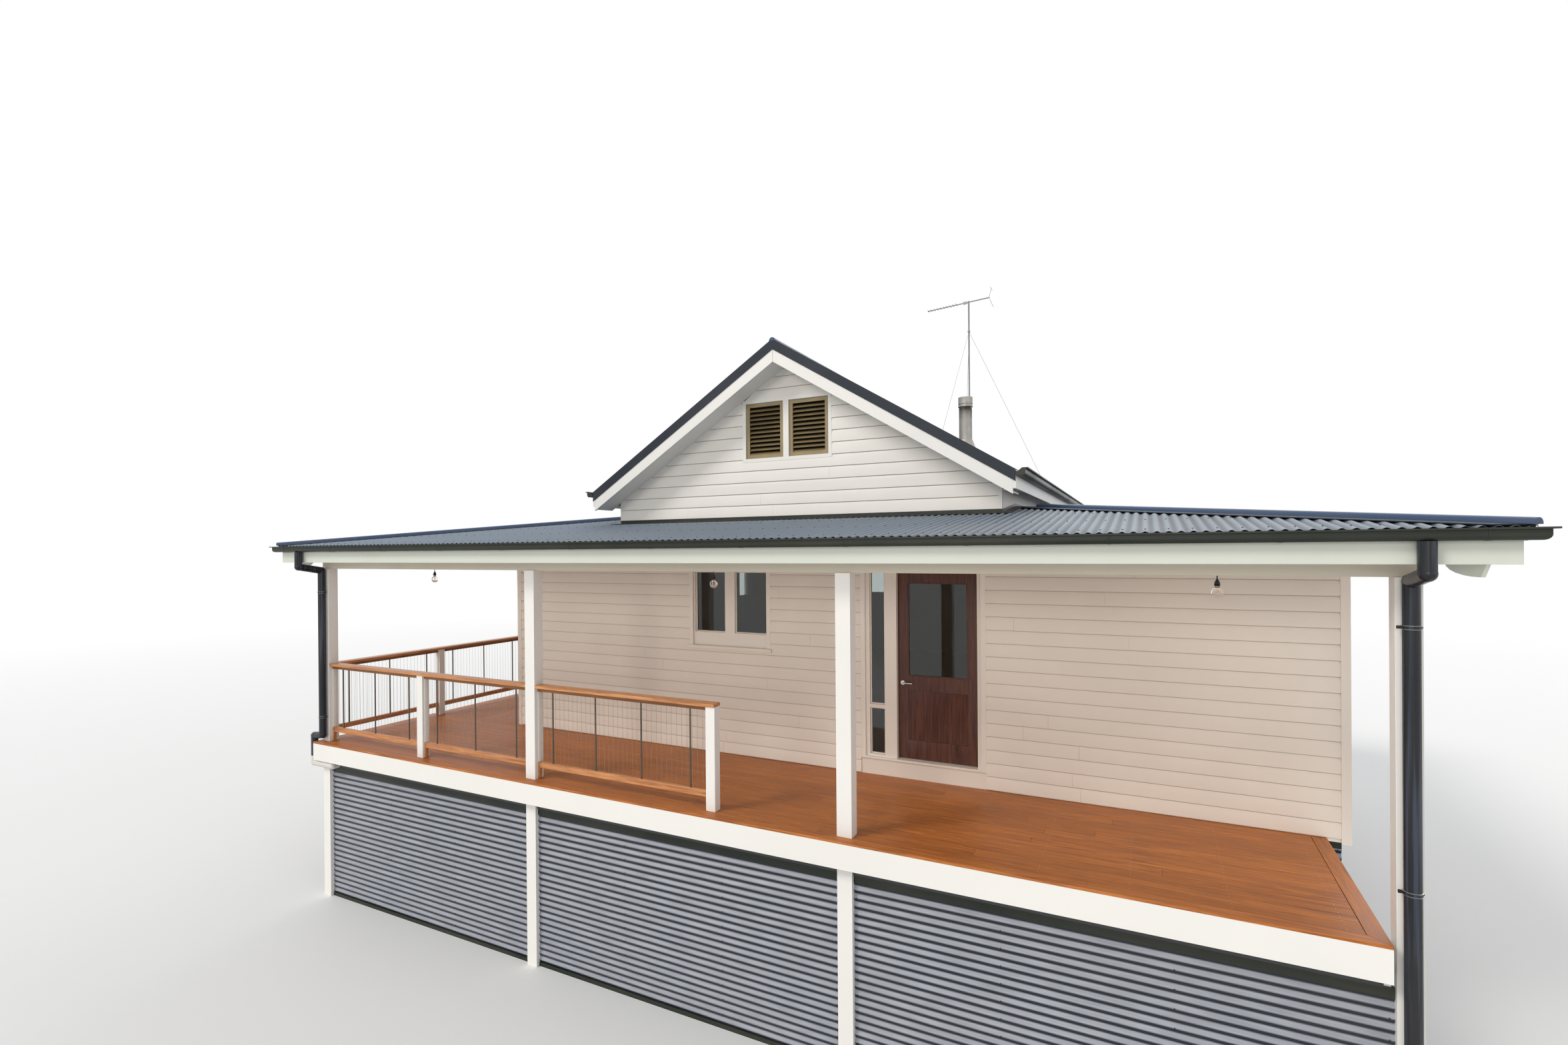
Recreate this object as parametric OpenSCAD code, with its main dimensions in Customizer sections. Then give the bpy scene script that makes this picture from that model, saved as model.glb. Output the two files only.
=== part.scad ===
// Beach house: a weatherboard house on stumps with a gabled centre, a low hipped
// roof all round and a deck along the front and the left side.
// X runs right, Y runs back from the front and Z runs up from the lowest ground.

/* [Plan] */
// Width over the eave gutters
roof_w = 13150; // [12600:10:14200]
// Depth over the eave gutters
roof_d = 13150; // [12600:10:14200]
// Gutter line to the front wall
front_over = 2585; // [2300:5:2900]
// Gutter line to the left wall
left_over = 2352; // [2100:1:2700]
// Gutter line to the right and rear walls
plain_over = 535; // [450:5:700]
// Thickness of the walls
wall_t = 130; // [100:5:160]
// Width of the gabled centre
core_w = 5250; // [4800:10:5800]
// Middle of the gabled centre, right of the middle of the roof
core_x = 407; // [200:1:600]

/* [Levels] */
// Top of the deck over the lowest ground
deck_h = 2250; // [1800:10:2600]
// Inside floor over the deck
floor_step = 190; // [120:5:220]
// Underside of the ceiling over the deck
ceiling_h = 2610; // [2560:5:2900]
// Thickness of the floor
floor_t = 220; // [180:5:300]
// Thickness of the ceiling and soffit linings
lining_t = 12; // [9:1:20]

/* [Low roof] */
// Slope of the low hipped roof in degrees
low_pitch = 6.4; // [5:0.1:8]
// Thickness over the ribs of the roof sheets
sheet_t = 25; // [18:1:30]
// Reach of the low sheets past the fascia
sheet_over = 50; // [40:1:70]
// Height of the eave fascia
fascia_h = 225; // [200:5:260]
// Thickness of the fascia and barge boards
fascia_t = 30; // [22:1:38]
// Fascia below the lining that it hides
fascia_drop = 10; // [6:1:20]
// Width of the hip caps
cap_w = 300; // [220:10:360]
// Thickness of caps and flashings
cap_t = 8; // [6:1:14]
// Wall flashing along the roof
flashing_w = 110; // [80:5:140]
// Wall flashing up the wall
flashing_up = 38; // [30:1:42]
// Length of the shaped timber under each eave corner
tail_l = 230; // [180:5:260]
// Depth of the shaped timber under each eave corner
tail_h = 95; // [70:5:110]
// Thickness of the shaped timber under each eave corner
tail_t = 45; // [35:1:60]
// Shaped timber in from the fascias
tail_in = 90; // [60:5:130]

/* [Gutters] */
// Width of the gutters
gutter_w = 125; // [110:1:140]
// Height of the gutters
gutter_h = 80; // [76:1:100]
// Thickness of the gutter metal
gutter_t = 3; // [2:0.5:4]
// Outward bead along the top of a gutter
gutter_lip = 28; // [16:1:32]
// Radius along the foot of a gutter
gutter_r = 34; // [20:1:40]
// Eave gutter over the top of its fascia
gutter_lift = 5; // [2:1:24]
// Upper gutter over the top of its fascia
high_gutter_lift = 50; // [44:1:54]

/* [Gabled roof] */
// Slope of the gabled roof in degrees
high_pitch = 32.2; // [28:0.1:36]
// Wall that shows between the low roof and the upper soffit
upper_wall_show = 45; // [44:1:120]
// Side wall to the upper fascia
high_over = 197; // [160:1:260]
// Gable wall to the face of the barge board
gable_over = 405; // [340:5:500]
// Height of the upper fascia
high_fascia_h = 165; // [150:1:190]
// Reach of the gabled roof's sheets past the fascia
high_sheet_over = 35; // [25:1:40]
// Upright face of the barge capping
capping_face = 131; // [100:1:150]
// Foot of the barge board below the top of its capping
barge_drop = 283; // [260:1:320]
// Barge board below the raked lining behind it
rake_step = 18; // [10:1:30]
// Width of the ridge cap and of the capping on the sheets
ridge_cap_w = 260; // [200:10:320]

/* [Verandah] */
// Side of a verandah post
post_w = 150; // [125:1:170]
// Gutter line to the face of the front posts
post_in_front = 470; // [420:5:560]
// Gutter line to the outer face of the corner posts
post_in_side = 510; // [460:5:600]
// Spacing of the first three front posts
post_bay = 3954; // [3700:1:4050]
// Beam below the ceiling
beam_drop = 105; // [90:1:130]
// Thickness of the beams
beam_w = 120; // [90:1:140]
// Side of a balustrade newel
newel_w = 110; // [95:1:125]
// Way onto the deck, beside the third front post
entry_gap = 1340; // [1200:10:1500]
// Top of the handrail over the deck
rail_h = 1126; // [1000:1:1200]
// Width of the handrail
rail_w = 140; // [110:1:150]
// Thickness of the handrail
rail_t = 35; // [30:1:45]
// Width of the rails under the handrail and near the deck
stiffener_w = 45; // [38:1:60]
// Depth of the rail under the handrail
stiffener_h = 45; // [35:1:60]
// Top of the bottom rail over the deck
bottom_rail_top = 202; // [160:1:230]
// Depth of the bottom rail
bottom_rail_h = 70; // [55:1:90]
// Side of the blocks that carry the rail ends
rail_block_w = 22; // [16:1:30]
// Diameter of the steel uprights
upright_d = 20; // [14:1:26]
// Longest spacing wanted between steel uprights
upright_pitch = 680; // [560:10:760]
// First upright from the end of its rail
upright_end = 220; // [160:5:260]

/* [Deck] */
// Thickness of the deck boards
board_t = 25; // [19:1:32]
// Deck edge in front of the front posts
nose_front = 118; // [90:1:140]
// Deck edge outside the left posts
nose_side = 60; // [40:1:90]
// Deck's right end to the last front post
deck_end_gap = 39; // [10:1:80]
// Height of the rim boards
rim_h = 240; // [200:5:280]
// Thickness of the rim boards
rim_t = 25; // [19:1:35]
// Width of a joist
joist_w = 45; // [35:1:60]
// Height of a joist
joist_h = 140; // [120:5:190]
// Joists in each bay
joists = 6; // [4:1:7]
// Width of a bearer
bearer_w = 90; // [70:1:110]
// Height of a bearer
bearer_h = 190; // [150:5:240]
// Side of a stump
stump_w = 140; // [100:5:180]
// Stumps across the house
stumps_x = 4; // [3:1:5]
// Stumps from front to back
stumps_y = 4; // [3:1:5]
// Thickness of the base cladding
clad_t = 20; // [16:1:28]
// Base cladding behind the faces of posts and walls
clad_in = 45; // [36:1:60]

/* [Windows and vents] */
// Width of a window opening
window_w = 1140; // [1000:5:1300]
// Sill of the windows over the deck
window_sill_h = 1436; // [1200:1:1500]
// Heads of the windows and of the entry over the deck
head_h = 2500; // [2400:5:2510]
// Middle of the front window, left of the middle of the roof
front_window_x = 449; // [300:1:600]
// Spacing of the pairs of windows in the other walls
window_pair = 4400; // [3400:50:5200]
// Side members of a window
window_stile = 30; // [24:1:40]
// Middle member of a window
window_mullion = 149; // [120:1:170]
// Bottom rail of a sash
window_rail = 181; // [120:1:200]
// Top member of a window
window_head = 60; // [45:1:80]
// Depth of a window frame
window_depth = 90; // [70:1:95]
// Window and entry frames behind the wall face
frame_in = 15; // [8:1:25]
// Width of the trim round openings
trim_w = 45; // [38:1:50]
// Thickness of the trim round openings
trim_t = 20; // [14:1:26]
// Lining of an opening in front of its frame
reveal_t = 12; // [8:1:20]
// Thickness of the window glass
glass_t = 6; // [4:1:8]
// Reach of the window sills past the wall
sill_over = 50; // [30:1:70]
// Height of the window sills
sill_h = 42; // [32:1:50]
// Reach of the window sills past the trim at each end
sill_horn = 20; // [10:1:30]
// Width of a gable vent
vent_w = 538; // [480:1:580]
// Height of a gable vent
vent_h = 724; // [660:1:760]
// Trim between the two vents of a gable
vent_gap = 77; // [60:1:100]
// Outer corners of the gable vents below the raked lining
vent_clear = 64.83; // [50:0.01:90]
// Width of a vent's own frame
vent_frame = 50; // [40:1:60]
// Depth of a vent's own frame
vent_depth = 70; // [50:1:90]
// Blades in a vent
vent_blades = 11; // [9:1:12]
// Thickness of a vent blade
vent_blade_t = 6; // [4:1:8]
// Slope of a vent blade in degrees
vent_blade_a = 42; // [35:1:48]

/* [Entry] */
// Left edge of the entry, right of the middle of the roof
entry_x = 1424; // [1300:1:1500]
// Left jamb beside the sidelight
side_jamb = 60; // [45:1:75]
// Width of the sidelight glass
sidelight_w = 185; // [150:1:220]
// Post between sidelight and door
entry_mullion = 133; // [110:1:150]
// Jamb on the hinge side
hinge_jamb = 42; // [36:1:55]
// Head member of the entry frame
entry_head = 45; // [35:1:60]
// Sill of the entry frame
entry_sill = 25; // [20:1:35]
// Top of the sidelight's bottom rail over the deck
sidelight_foot = 242; // [236:1:300]
// Middle rail of the sidelight over the deck
sidelight_mid = 804; // [700:1:900]
// Height of the sidelight's middle rail
sidelight_rail = 41; // [30:1:50]
// Width of the door leaf
door_w = 943; // [860:1:960]
// Thickness of the door leaf
door_t = 40; // [35:1:45]
// Gap round the door leaf
door_gap = 6; // [5.5:0.5:8]
// Overlap of the stops over the edge of the door
stop_w = 13; // [10:1:16]
// Width of the door's stiles and top rail
door_stile = 125; // [100:1:140]
// Height of the door's bottom rail
door_foot = 220; // [180:5:260]
// Height of the door's lock rail
lock_rail_h = 170; // [140:5:200]
// Middle of the lock rail over the foot of the door
lock_h = 900; // [840:5:960]
// Depth of the sunk panel of the door
door_sunk = 12; // [8:1:14]
// Thickness of the door glass
door_glass_t = 8; // [5:1:10]
// Diameter of a hinge knuckle
knuckle_d = 14; // [12:1:15]
// Height of half a hinge
knuckle_h = 50; // [40:1:60]
// Width of a hinge plate
hinge_plate_w = 34; // [28:1:35]
// Thickness of a hinge plate
hinge_plate_t = 3; // [2:0.5:4]
// Gap between the halves of a hinge
hinge_play = 0.3; // [0.2:0.1:0.5]
// Hinge axis inside the inner face of the door
hinge_out = 8; // [7.8:0.1:10]
// Top and bottom hinges from the ends of the door
hinge_end = 220; // [180:5:280]
// Diameter of the handle roses
rose_d = 52; // [44:1:56]
// Length of the lever handles
lever_l = 120; // [100:5:135]
// Diameter of the lever handles
lever_d = 18; // [14:1:22]
// Reach of the lever handles from the door
lever_out = 55; // [45:1:65]
// Handle spindle to the edge of the door
backset = 62; // [55:1:70]

/* [Pipes and flue] */
// Diameter of the downpipes
downpipe_d = 100; // [80:1:100]
// Downpipe to the face of the post that it runs down
pipe_off = 4; // [3:1:12]
// Bend of a downpipe below the fascia
pipe_bend = 60; // [54:1:90]
// Extra diameter of a pipe's bends
elbow_more = 4; // [2:0.5:4]
// Height of the pipe clips
clip_h = 25; // [18:1:40]
// Upper clips below the beam
clip_drop = 350; // [250:10:600]
// Diameter of the stormwater pipe
storm_d = 100; // [90:1:100]
// Run of the stormwater pipe along the rim
storm_l = 420; // [300:10:600]
// Diameter of the flue
flue_d = 200; // [150:5:240]
// Thickness of the flue metal
flue_t = 4; // [3:0.5:6]
// Top of the flue over the roof beside it
flue_rise = 756; // [600:1:900]
// Flue from the ridge line
flue_x = 1515; // [1300:5:1700]
// Flue in front of the middle of the roof
flue_y = 398; // [300:1:600]
// Height of the flue's cowl
cowl_h = 105; // [90:5:160]
// Height of the clamp under the cowl
clamp_h = 40; // [30:1:50]
// Gap between the flue and its cowl
cowl_gap = 6; // [4:1:10]
// Diameter of the flue's boot on the roof
boot_d = 420; // [340:10:480]
// Height of the flue's boot from its hidden foot
boot_h = 280; // [240:10:340]

/* [Aerial] */
// Top of the mast over the ridge
mast_rise = 1600; // [1400:10:1900]
// Diameter of the mast
mast_d = 28; // [24:1:36]
// Mast from the ridge line
mast_x = 1411; // [1300:1:1600]
// Mast behind the middle of the roof
mast_y = 454; // [200:1:700]
// Stay collar below the top of the mast
stay_drop = 505; // [400:5:700]
// Diameter of the stays
stay_d = 4; // [3:0.5:6]
// Length of the aerial's boom
boom_l = 1030; // [900:10:1600]
// Share of the boom that lies left of the mast
boom_left = 0.67; // [0.6:0.01:0.8]
// Rods on the boom
aerial_rods = 10; // [6:1:11]
// Spacing of the rods
rod_gap = 53; // [40:1:55]
// Length of the longest rod
rod_l = 190; // [120:5:260]
// Diameter of the boom
boom_d = 18; // [14:1:24]
// Diameter of the rods
rod_d = 6; // [4:1:8]
// Drop of the boom's far end in degrees
boom_slope = 4; // [0:0.5:6]
// Height of the reflector at the boom's near end
reflector_h = 280; // [200:10:340]
// Length of the wiring box beside the mast
wiring_l = 60; // [40:1:80]

/* [Lights] */
// Spacing of the verandah lights
light_pitch = 4965; // [4600:5:5200]
// Middle light, left of the middle of the roof
light_x = 105; // [0:5:200]
// Foot of the bulbs below the ceiling
light_drop = 335; // [310:1:340]
// Diameter of the bulbs
bulb_d = 95; // [90:1:125]
// Diameter of the lamp holders
holder_d = 52; // [38:1:56]
// Height of the lamp holders
holder_h = 62; // [55:1:85]
// Diameter of the ceiling roses
light_rose_d = 100; // [80:1:120]
// Diameter of the drop rods
drop_rod_d = 10; // [6:1:14]

/* [Hidden] */
$fn = 48;

// Gap between two solids of one node that meet in the real house
joint = 2;
// Clearance of a piece that lies on a sloping face
seat = 0.3;

// Colours
white = "whitesmoke";
dark = "#3b4148";
steel = "#a9adb0";
timber = "#a65a32";
bronze = "#6a5f45";

// Plan
half_w = roof_w / 2;
half_d = roof_d / 2;
wall_l = left_over - half_w;
wall_r = half_w - plain_over;
wall_f = front_over - half_d;
wall_b = half_d - plain_over;
core_l = core_x - core_w / 2;
core_r = core_x + core_w / 2;
core_f = wall_f;
core_b = -wall_f;
ridge_end = core_b + gable_over;

// Levels
wall_foot = deck_h + floor_step - floor_t;
floor_z = deck_h + floor_step;
ceiling_z = deck_h + ceiling_h;
ceiling_top = ceiling_z + lining_t;
head_z = deck_h + head_h;
beam_z = ceiling_z - beam_drop;
fascia_z = ceiling_z - fascia_drop;
eave_z = fascia_z + fascia_h;
low_rise = tan(low_pitch);
low_sheet_v = sheet_t / cos(low_pitch);
sheet_edge = gutter_w - sheet_over;
high_rise = tan(high_pitch);
high_sheet_v = sheet_t / cos(high_pitch);
core_inset = max(core_l + half_w, half_w - core_r);
high_half = core_w / 2 + high_over;
high_soffit_z = low_under(core_inset) + low_sheet_v + upper_wall_show;
high_fascia_z = high_soffit_z - fascia_drop;
high_eave_z = high_fascia_z + high_fascia_h;
ridge_z = high_under(0) + high_sheet_v;
tall = 2 * ridge_z;

// Posts, newels and deck
front_y = post_in_front - half_d + post_w / 2;
side_x = post_in_side - half_w + post_w / 2;
posts_x = [side_x, side_x + post_bay, side_x + 2 * post_bay, -side_x];
side_bay = (wall_b - nose_front - post_w / 2 - front_y) / 3;
posts_y = [for (i = [0 : 3]) front_y + i * side_bay];
deck_front = front_y - post_w / 2 - nose_front;
deck_left = side_x - post_w / 2 - nose_side;
deck_right = posts_x[3] - post_w / 2 - deck_end_gap;
board_z = deck_h - board_t;
joist_z = board_z - joist_h;
bearer_z = joist_z - bearer_h;
// The balustrade's runs: where each starts and ends along its side
front_stops = [
    posts_x[0], (posts_x[0] + posts_x[1]) / 2, posts_x[1],
    posts_x[2] - post_w / 2 - entry_gap - newel_w / 2
];
front_widths = [post_w, newel_w, post_w, newel_w];
side_stops = [for (i = [0 : 6]) front_y + i * side_bay / 2];
side_widths = [for (i = [0 : 6]) i % 2 == 0 ? post_w : newel_w];

// Entry
entry_r = entry_x + side_jamb + sidelight_w + entry_mullion + door_w + 2 * door_gap + hinge_jamb;
door_r = entry_r - hinge_jamb - door_gap;
door_l = door_r - door_w;
door_z = floor_z + entry_sill + door_gap;
door_h = head_z - entry_head - door_gap - door_z;
door_y = wall_f + wall_t - door_t;
hinge_x = door_r + door_gap / 2;
hinge_y = wall_f + wall_t + hinge_out;
hinges_z = [
    door_z + hinge_end, door_z + door_h / 2, door_z + door_h - hinge_end
];

// Pipes
pipe_out_y = gutter_w - half_d - downpipe_d / 2 - 2;
pipe_y = front_y - post_w / 2 - pipe_off - downpipe_d / 2;
storm_x = deck_left - downpipe_d / 2 - 3 * gutter_t;
storm_top = board_z - rim_h + storm_d / 2;

// Feet of the mast's stays, across from the ridge line and back from the middle
stays = [[1700, -2800], [2400, 2600], [800, 3200]];

// Neck of a bulb above its globe
bulb_neck = 8;

// Windows: the wall each stands in, 0 front, 1 right, 2 rear, 3 left, and its place along it
wall_mid_x = (wall_l + wall_r) / 2;
wall_mid_y = (wall_f + wall_b) / 2;
windows = [
    [0, -front_window_x], [1, wall_mid_y], [2, -wall_mid_x - window_pair / 2],
    [2, -wall_mid_x + window_pair / 2], [3, -wall_mid_y - window_pair / 2],
    [3, -wall_mid_y + window_pair / 2]
];
sill_z = deck_h + window_sill_h;
vent_z = high_under(vent_gap / 2 + vent_w) + rake_low() - vent_clear - vent_h;
vents_x = [
    core_x - (vent_gap + vent_w) / 2, core_x + (vent_gap + vent_w) / 2
];

// Underside of the low roof at a distance in from the gutter line
function low_under(inset) = eave_z + (inset - gutter_w) * low_rise;
// Underside of the gabled roof at a distance from the ridge line
function high_under(from_ridge) = high_eave_z + (high_half - from_ridge) * high_rise;

// A box between two opposite corners
module block(low, high) {
    translate(low)
        cube(high - low);
}

// An outline given as [across, up], run along X
module run_x(length) {
    rotate([90, 0, 90])
        linear_extrude(length, center = true)
            children();
}

// An outline given as [across, up], run along Y
module run_y(length) {
    rotate([90, 0, 0])
        linear_extrude(length, center = true)
            children();
}

// The gutter line of one side brought to the front: 0 front, 1 right, 2 rear, 3 left
module from_gutter(side) {
    rotate(side * 90)
        translate([0, side % 2 == 0 ? -half_d : -half_w, 0])
            children();
}

// The outer face of one wall brought to the front, in the same order
module on_wall(side) {
    place = [[0, wall_f], [wall_r, 0], [0, wall_b], [wall_l, 0]][side];
    translate([place[0], place[1], 0])
        rotate(side * 90)
            children();
}

// Half the length of the gutter line of one side
function half_side(side) = side % 2 == 0 ? half_w : half_d;

// Everything below one pair of slopes of the low roof
module low_tent(reach, length, eave) {
    run_x(length)
        polygon([
            [-reach, 0], [-reach, eave], [0, eave + reach * low_rise], [reach, eave], [reach, 0]
        ]);
}

// Everything below the low roof's underside, raised by lift
module below_low(lift, edge) {
    eave = low_under(edge) + lift;
    intersection() {
        low_tent(half_d - edge, 2 * (half_w - edge), eave);
        rotate(90)
            low_tent(half_w - edge, 2 * (half_d - edge), eave);
    }
}

// A layer on the low roof between two heights over its underside
module low_layer(low, high) {
    difference() {
        below_low(high, sheet_edge);
        below_low(low, sheet_edge - joint);
    }
}

// The gabled centre as a tall block, grown sideways
module core_block(grow) {
    block([core_l - grow, core_f - grow, -1], [core_r + grow, core_b + grow, tall]);
}

// Outline of everything below the gabled roof's underside, raised by lift
module high_outline(half, lift) {
    translate([core_x, 0])
        polygon([
            [-half, 0], [-half, high_under(half) + lift], [0, high_under(0) + lift],
            [half, high_under(half) + lift], [half, 0]
        ]);
}

// Outline of a layer that follows the gabled roof, between two heights over its underside
module high_layer(half, low, high) {
    translate([core_x, 0])
        polygon([
            [-half, high_under(half) + low], [0, high_under(0) + low], [half, high_under(half) + low],
            [half, high_under(half) + high], [0, high_under(0) + high],
            [-half, high_under(half) + high]
        ]);
}

// A straight round bar from one point to another
module bar(from, to, d) {
    run = to - from;
    flat = norm([run[0], run[1]]);
    translate(from)
        rotate([0, atan2(flat, run[2]), atan2(run[1], run[0])])
            cylinder(h = norm(run), d = d);
}

// A round pipe through a list of points, with a ball at each bend
module pipe(points, d) {
    for (i = [0 : len(points) - 2]) {
        bar(points[i], points[i + 1], d);
    }
    for (i = [1 : len(points) - 2]) {
        translate(points[i])
            sphere(d = d + elbow_more);
    }
}

module floor() {
    color(timber)
        block([wall_l + wall_t, wall_f + wall_t, wall_foot], [wall_r - wall_t, wall_b - wall_t, floor_z]);
}

module ceiling_lining() {
    edge = gutter_w + fascia_t;
    color(white)
        block([edge - half_w, edge - half_d, ceiling_z], [half_w - edge, half_d - edge, ceiling_top]);
}

// The window openings as tall holes through the walls
module window_holes() {
    for (w = windows) {
        on_wall(w[0])
            block(
                [w[1] - window_w / 2, -wall_t, sill_z],
                [w[1] + window_w / 2, 2 * wall_t, head_z]
            );
    }
}

// A wall piece from its foot to the ceiling, with its window openings
module wall_piece(from, to) {
    color(white)
        difference() {
            block([from[0], from[1], wall_foot], [to[0], to[1], ceiling_z]);
            window_holes();
        }
}

module front_wall_left() {
    wall_piece([wall_l, wall_f], [entry_x, wall_f + wall_t]);
}

module front_wall_right() {
    wall_piece([entry_r, wall_f], [wall_r, wall_f + wall_t]);
}

module front_wall_at_door() {
    color(white) {
        block([entry_x, wall_f, head_z], [entry_r, wall_f + wall_t, ceiling_z]);
        block([entry_x, wall_f, wall_foot], [entry_r, wall_f + wall_t, floor_z]);
    }
}

module left_wall() {
    wall_piece([wall_l, wall_f + wall_t], [wall_l + wall_t, wall_b]);
}

module right_wall() {
    wall_piece([wall_r - wall_t, wall_f + wall_t], [wall_r, wall_b]);
}

module rear_wall() {
    wall_piece([wall_l + wall_t, wall_b - wall_t], [wall_r - wall_t, wall_b]);
}

module upper_walls() {
    color(white)
        intersection() {
            union() {
                for (s = [-1, 1]) {
                    difference() {
                        translate([core_x, s * (core_b - wall_t / 2), 0])
                            block([-core_w / 2, -wall_t / 2, ceiling_top], [core_w / 2, wall_t / 2, tall]);
                        for (x = vents_x) {
                            block([x - vent_w / 2, -roof_d, vent_z], [x + vent_w / 2, roof_d, vent_z + vent_h]);
                        }
                    }
                    translate([core_x + s * (core_w - wall_t) / 2, 0, 0])
                        block(
                            [-wall_t / 2, core_f + wall_t + joint, ceiling_top],
                            [wall_t / 2, core_b - wall_t - joint, tall]
                        );
                }
            }
            run_y(roof_d)
                high_outline(core_w / 2, -seat);
        }
}

module upper_roof() {
    color(dark)
        difference() {
            run_y(2 * ridge_end)
                high_layer(high_half + high_sheet_over, 0, high_sheet_v);
            block([core_x - joint / 2, -roof_d, 0], [core_x + joint / 2, roof_d, tall]);
        }
}

module roof_cappings() {
    edge = high_half + high_sheet_over;
    low = high_sheet_v + seat;
    top = low + cap_t / cos(high_pitch);
    color(dark) {
        // Ridge cap between the two barge cappings
        intersection() {
            run_y(2 * (ridge_end - ridge_cap_w / 2 - joint))
                high_layer(edge, low, top);
            block([core_x - ridge_cap_w / 2, -roof_d, 0], [core_x + ridge_cap_w / 2, roof_d, tall]);
        }
        // Barge cappings, lying on the sheets and turned down over the barge boards
        for (s = [-1, 1]) {
            translate([0, s * (ridge_end - ridge_cap_w / 4), 0])
                run_y(ridge_cap_w / 2)
                    high_layer(edge, low, top);
            translate([0, s * (ridge_end + cap_t / 2), 0])
                run_y(cap_t)
                    high_layer(high_half - joint, top - capping_face, top);
        }
        // Caps over the four hips of the low roof
        difference() {
            intersection() {
                low_layer(low_sheet_v + seat, low_sheet_v + cap_t);
                for (sx = [-1, 1], sy = [-1, 1]) {
                    translate([sx * half_w, sy * half_d, 0])
                        rotate(atan2(-sy, -sx))
                            block([0, -cap_w / 2, 0], [half_w, cap_w / 2, tall]);
                }
            }
            core_block(flashing_w + joint);
        }
    }
}

module barge_boards() {
    half = high_half - fascia_t;
    top = high_sheet_v + cap_t / cos(high_pitch);
    color(white)
        for (s = [-1, 1]) {
            translate([0, s * (ridge_end - fascia_t / 2), 0])
                difference() {
                    run_y(fascia_t)
                        high_layer(half, top - barge_drop, 0);
                    block([core_x - joint / 2, -roof_d, 0], [core_x + joint / 2, roof_d, tall]);
                }
        }
}

// Underside of the raked lining over the underside of the gabled roof
function rake_low() = high_sheet_v + cap_t / cos(high_pitch) - barge_drop + rake_step;

module gable_soffits() {
    low = rake_low();
    color(white)
        for (s = [-1, 1]) {
            translate([0, s * (core_b + (gable_over - fascia_t) / 2), 0])
                run_y(gable_over - fascia_t)
                    high_layer(high_half - fascia_t, low, low + lining_t);
        }
}

module upper_eaves() {
    inner = high_half - fascia_t;
    color(white)
        intersection() {
            for (s = [-1, 1]) {
                // Side fascia, through to the faces of the barge boards
                translate([core_x + s * (high_half - fascia_t / 2), 0, 0])
                    block(
                        [-fascia_t / 2, -ridge_end, high_fascia_z],
                        [fascia_t / 2, ridge_end, tall]
                    );
                // Level lining between the side wall and the fascia
                translate([core_x + s * (core_w / 2 + inner) / 2, 0, 0])
                    block(
                        [(core_w / 2 - inner) / 2, core_f, high_soffit_z],
                        [(inner - core_w / 2) / 2, core_b, high_soffit_z + lining_t]
                    );
            }
            run_y(roof_d)
                high_outline(high_half, 0);
        }
}

// Points of a quarter circle from the foot to the face of a gutter
function gutter_arc(r) = [
    for (i = [0 : 6])
        [gutter_lip + gutter_r - r * sin(i * 15), gutter_r - r * cos(i * 15)]
];

// Cross-section of a gutter: across from its lip, up from its foot
module gutter_outline(back_h) {
    lip_h = 12;
    polygon(concat(
        [[gutter_w, back_h], [gutter_w, 0]],
        gutter_arc(gutter_r),
        [[gutter_lip, gutter_h - lip_h], [0, gutter_h - lip_h], [0, gutter_h], [gutter_lip + gutter_t, gutter_h]],
        [for (i = [6 : -1 : 0]) gutter_arc(gutter_r - gutter_t)[i] + [gutter_t, gutter_t]],
        [[gutter_w - gutter_t, gutter_t], [gutter_w - gutter_t, back_h]]
    ));
}

// Closed end of a gutter
module gutter_end_outline(back_h) {
    polygon(concat(
        [[gutter_w, back_h], [gutter_w, 0]],
        gutter_arc(gutter_r),
        [[gutter_lip, gutter_h], [gutter_lip + gutter_r, gutter_h]]
    ));
}

module upper_gutters() {
    foot = high_eave_z + high_gutter_lift - gutter_h;
    half = ridge_end + cap_t + joint + gutter_t;
    back_h = high_eave_z - gutter_t * high_rise - 1 - foot;
    color(dark)
        for (s = [-1, 1]) {
            translate([core_x + s * (high_half + gutter_w), 0, foot])
                rotate(s * 90) {
                    run_x(2 * half)
                        gutter_outline(back_h);
                    for (e = [-1, 1]) {
                        translate([e * (half - gutter_t / 2), 0, 0])
                            run_x(gutter_t)
                                gutter_end_outline(back_h);
                    }
                }
        }
}

// One piece of a plane of the low roof over an outline of [along, in from the gutter line]
module low_plane(side, outline) {
    reach = side % 2 == 0 ? half_d : half_w;
    from_gutter(side)
        intersection() {
            linear_extrude(tall)
                polygon(outline);
            run_x(2 * roof_w)
                polygon([
                    [0, low_under(0)], [reach, low_under(reach)],
                    [reach, low_under(reach) + low_sheet_v], [0, low_under(0) + low_sheet_v]
                ]);
        }
}

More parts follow.
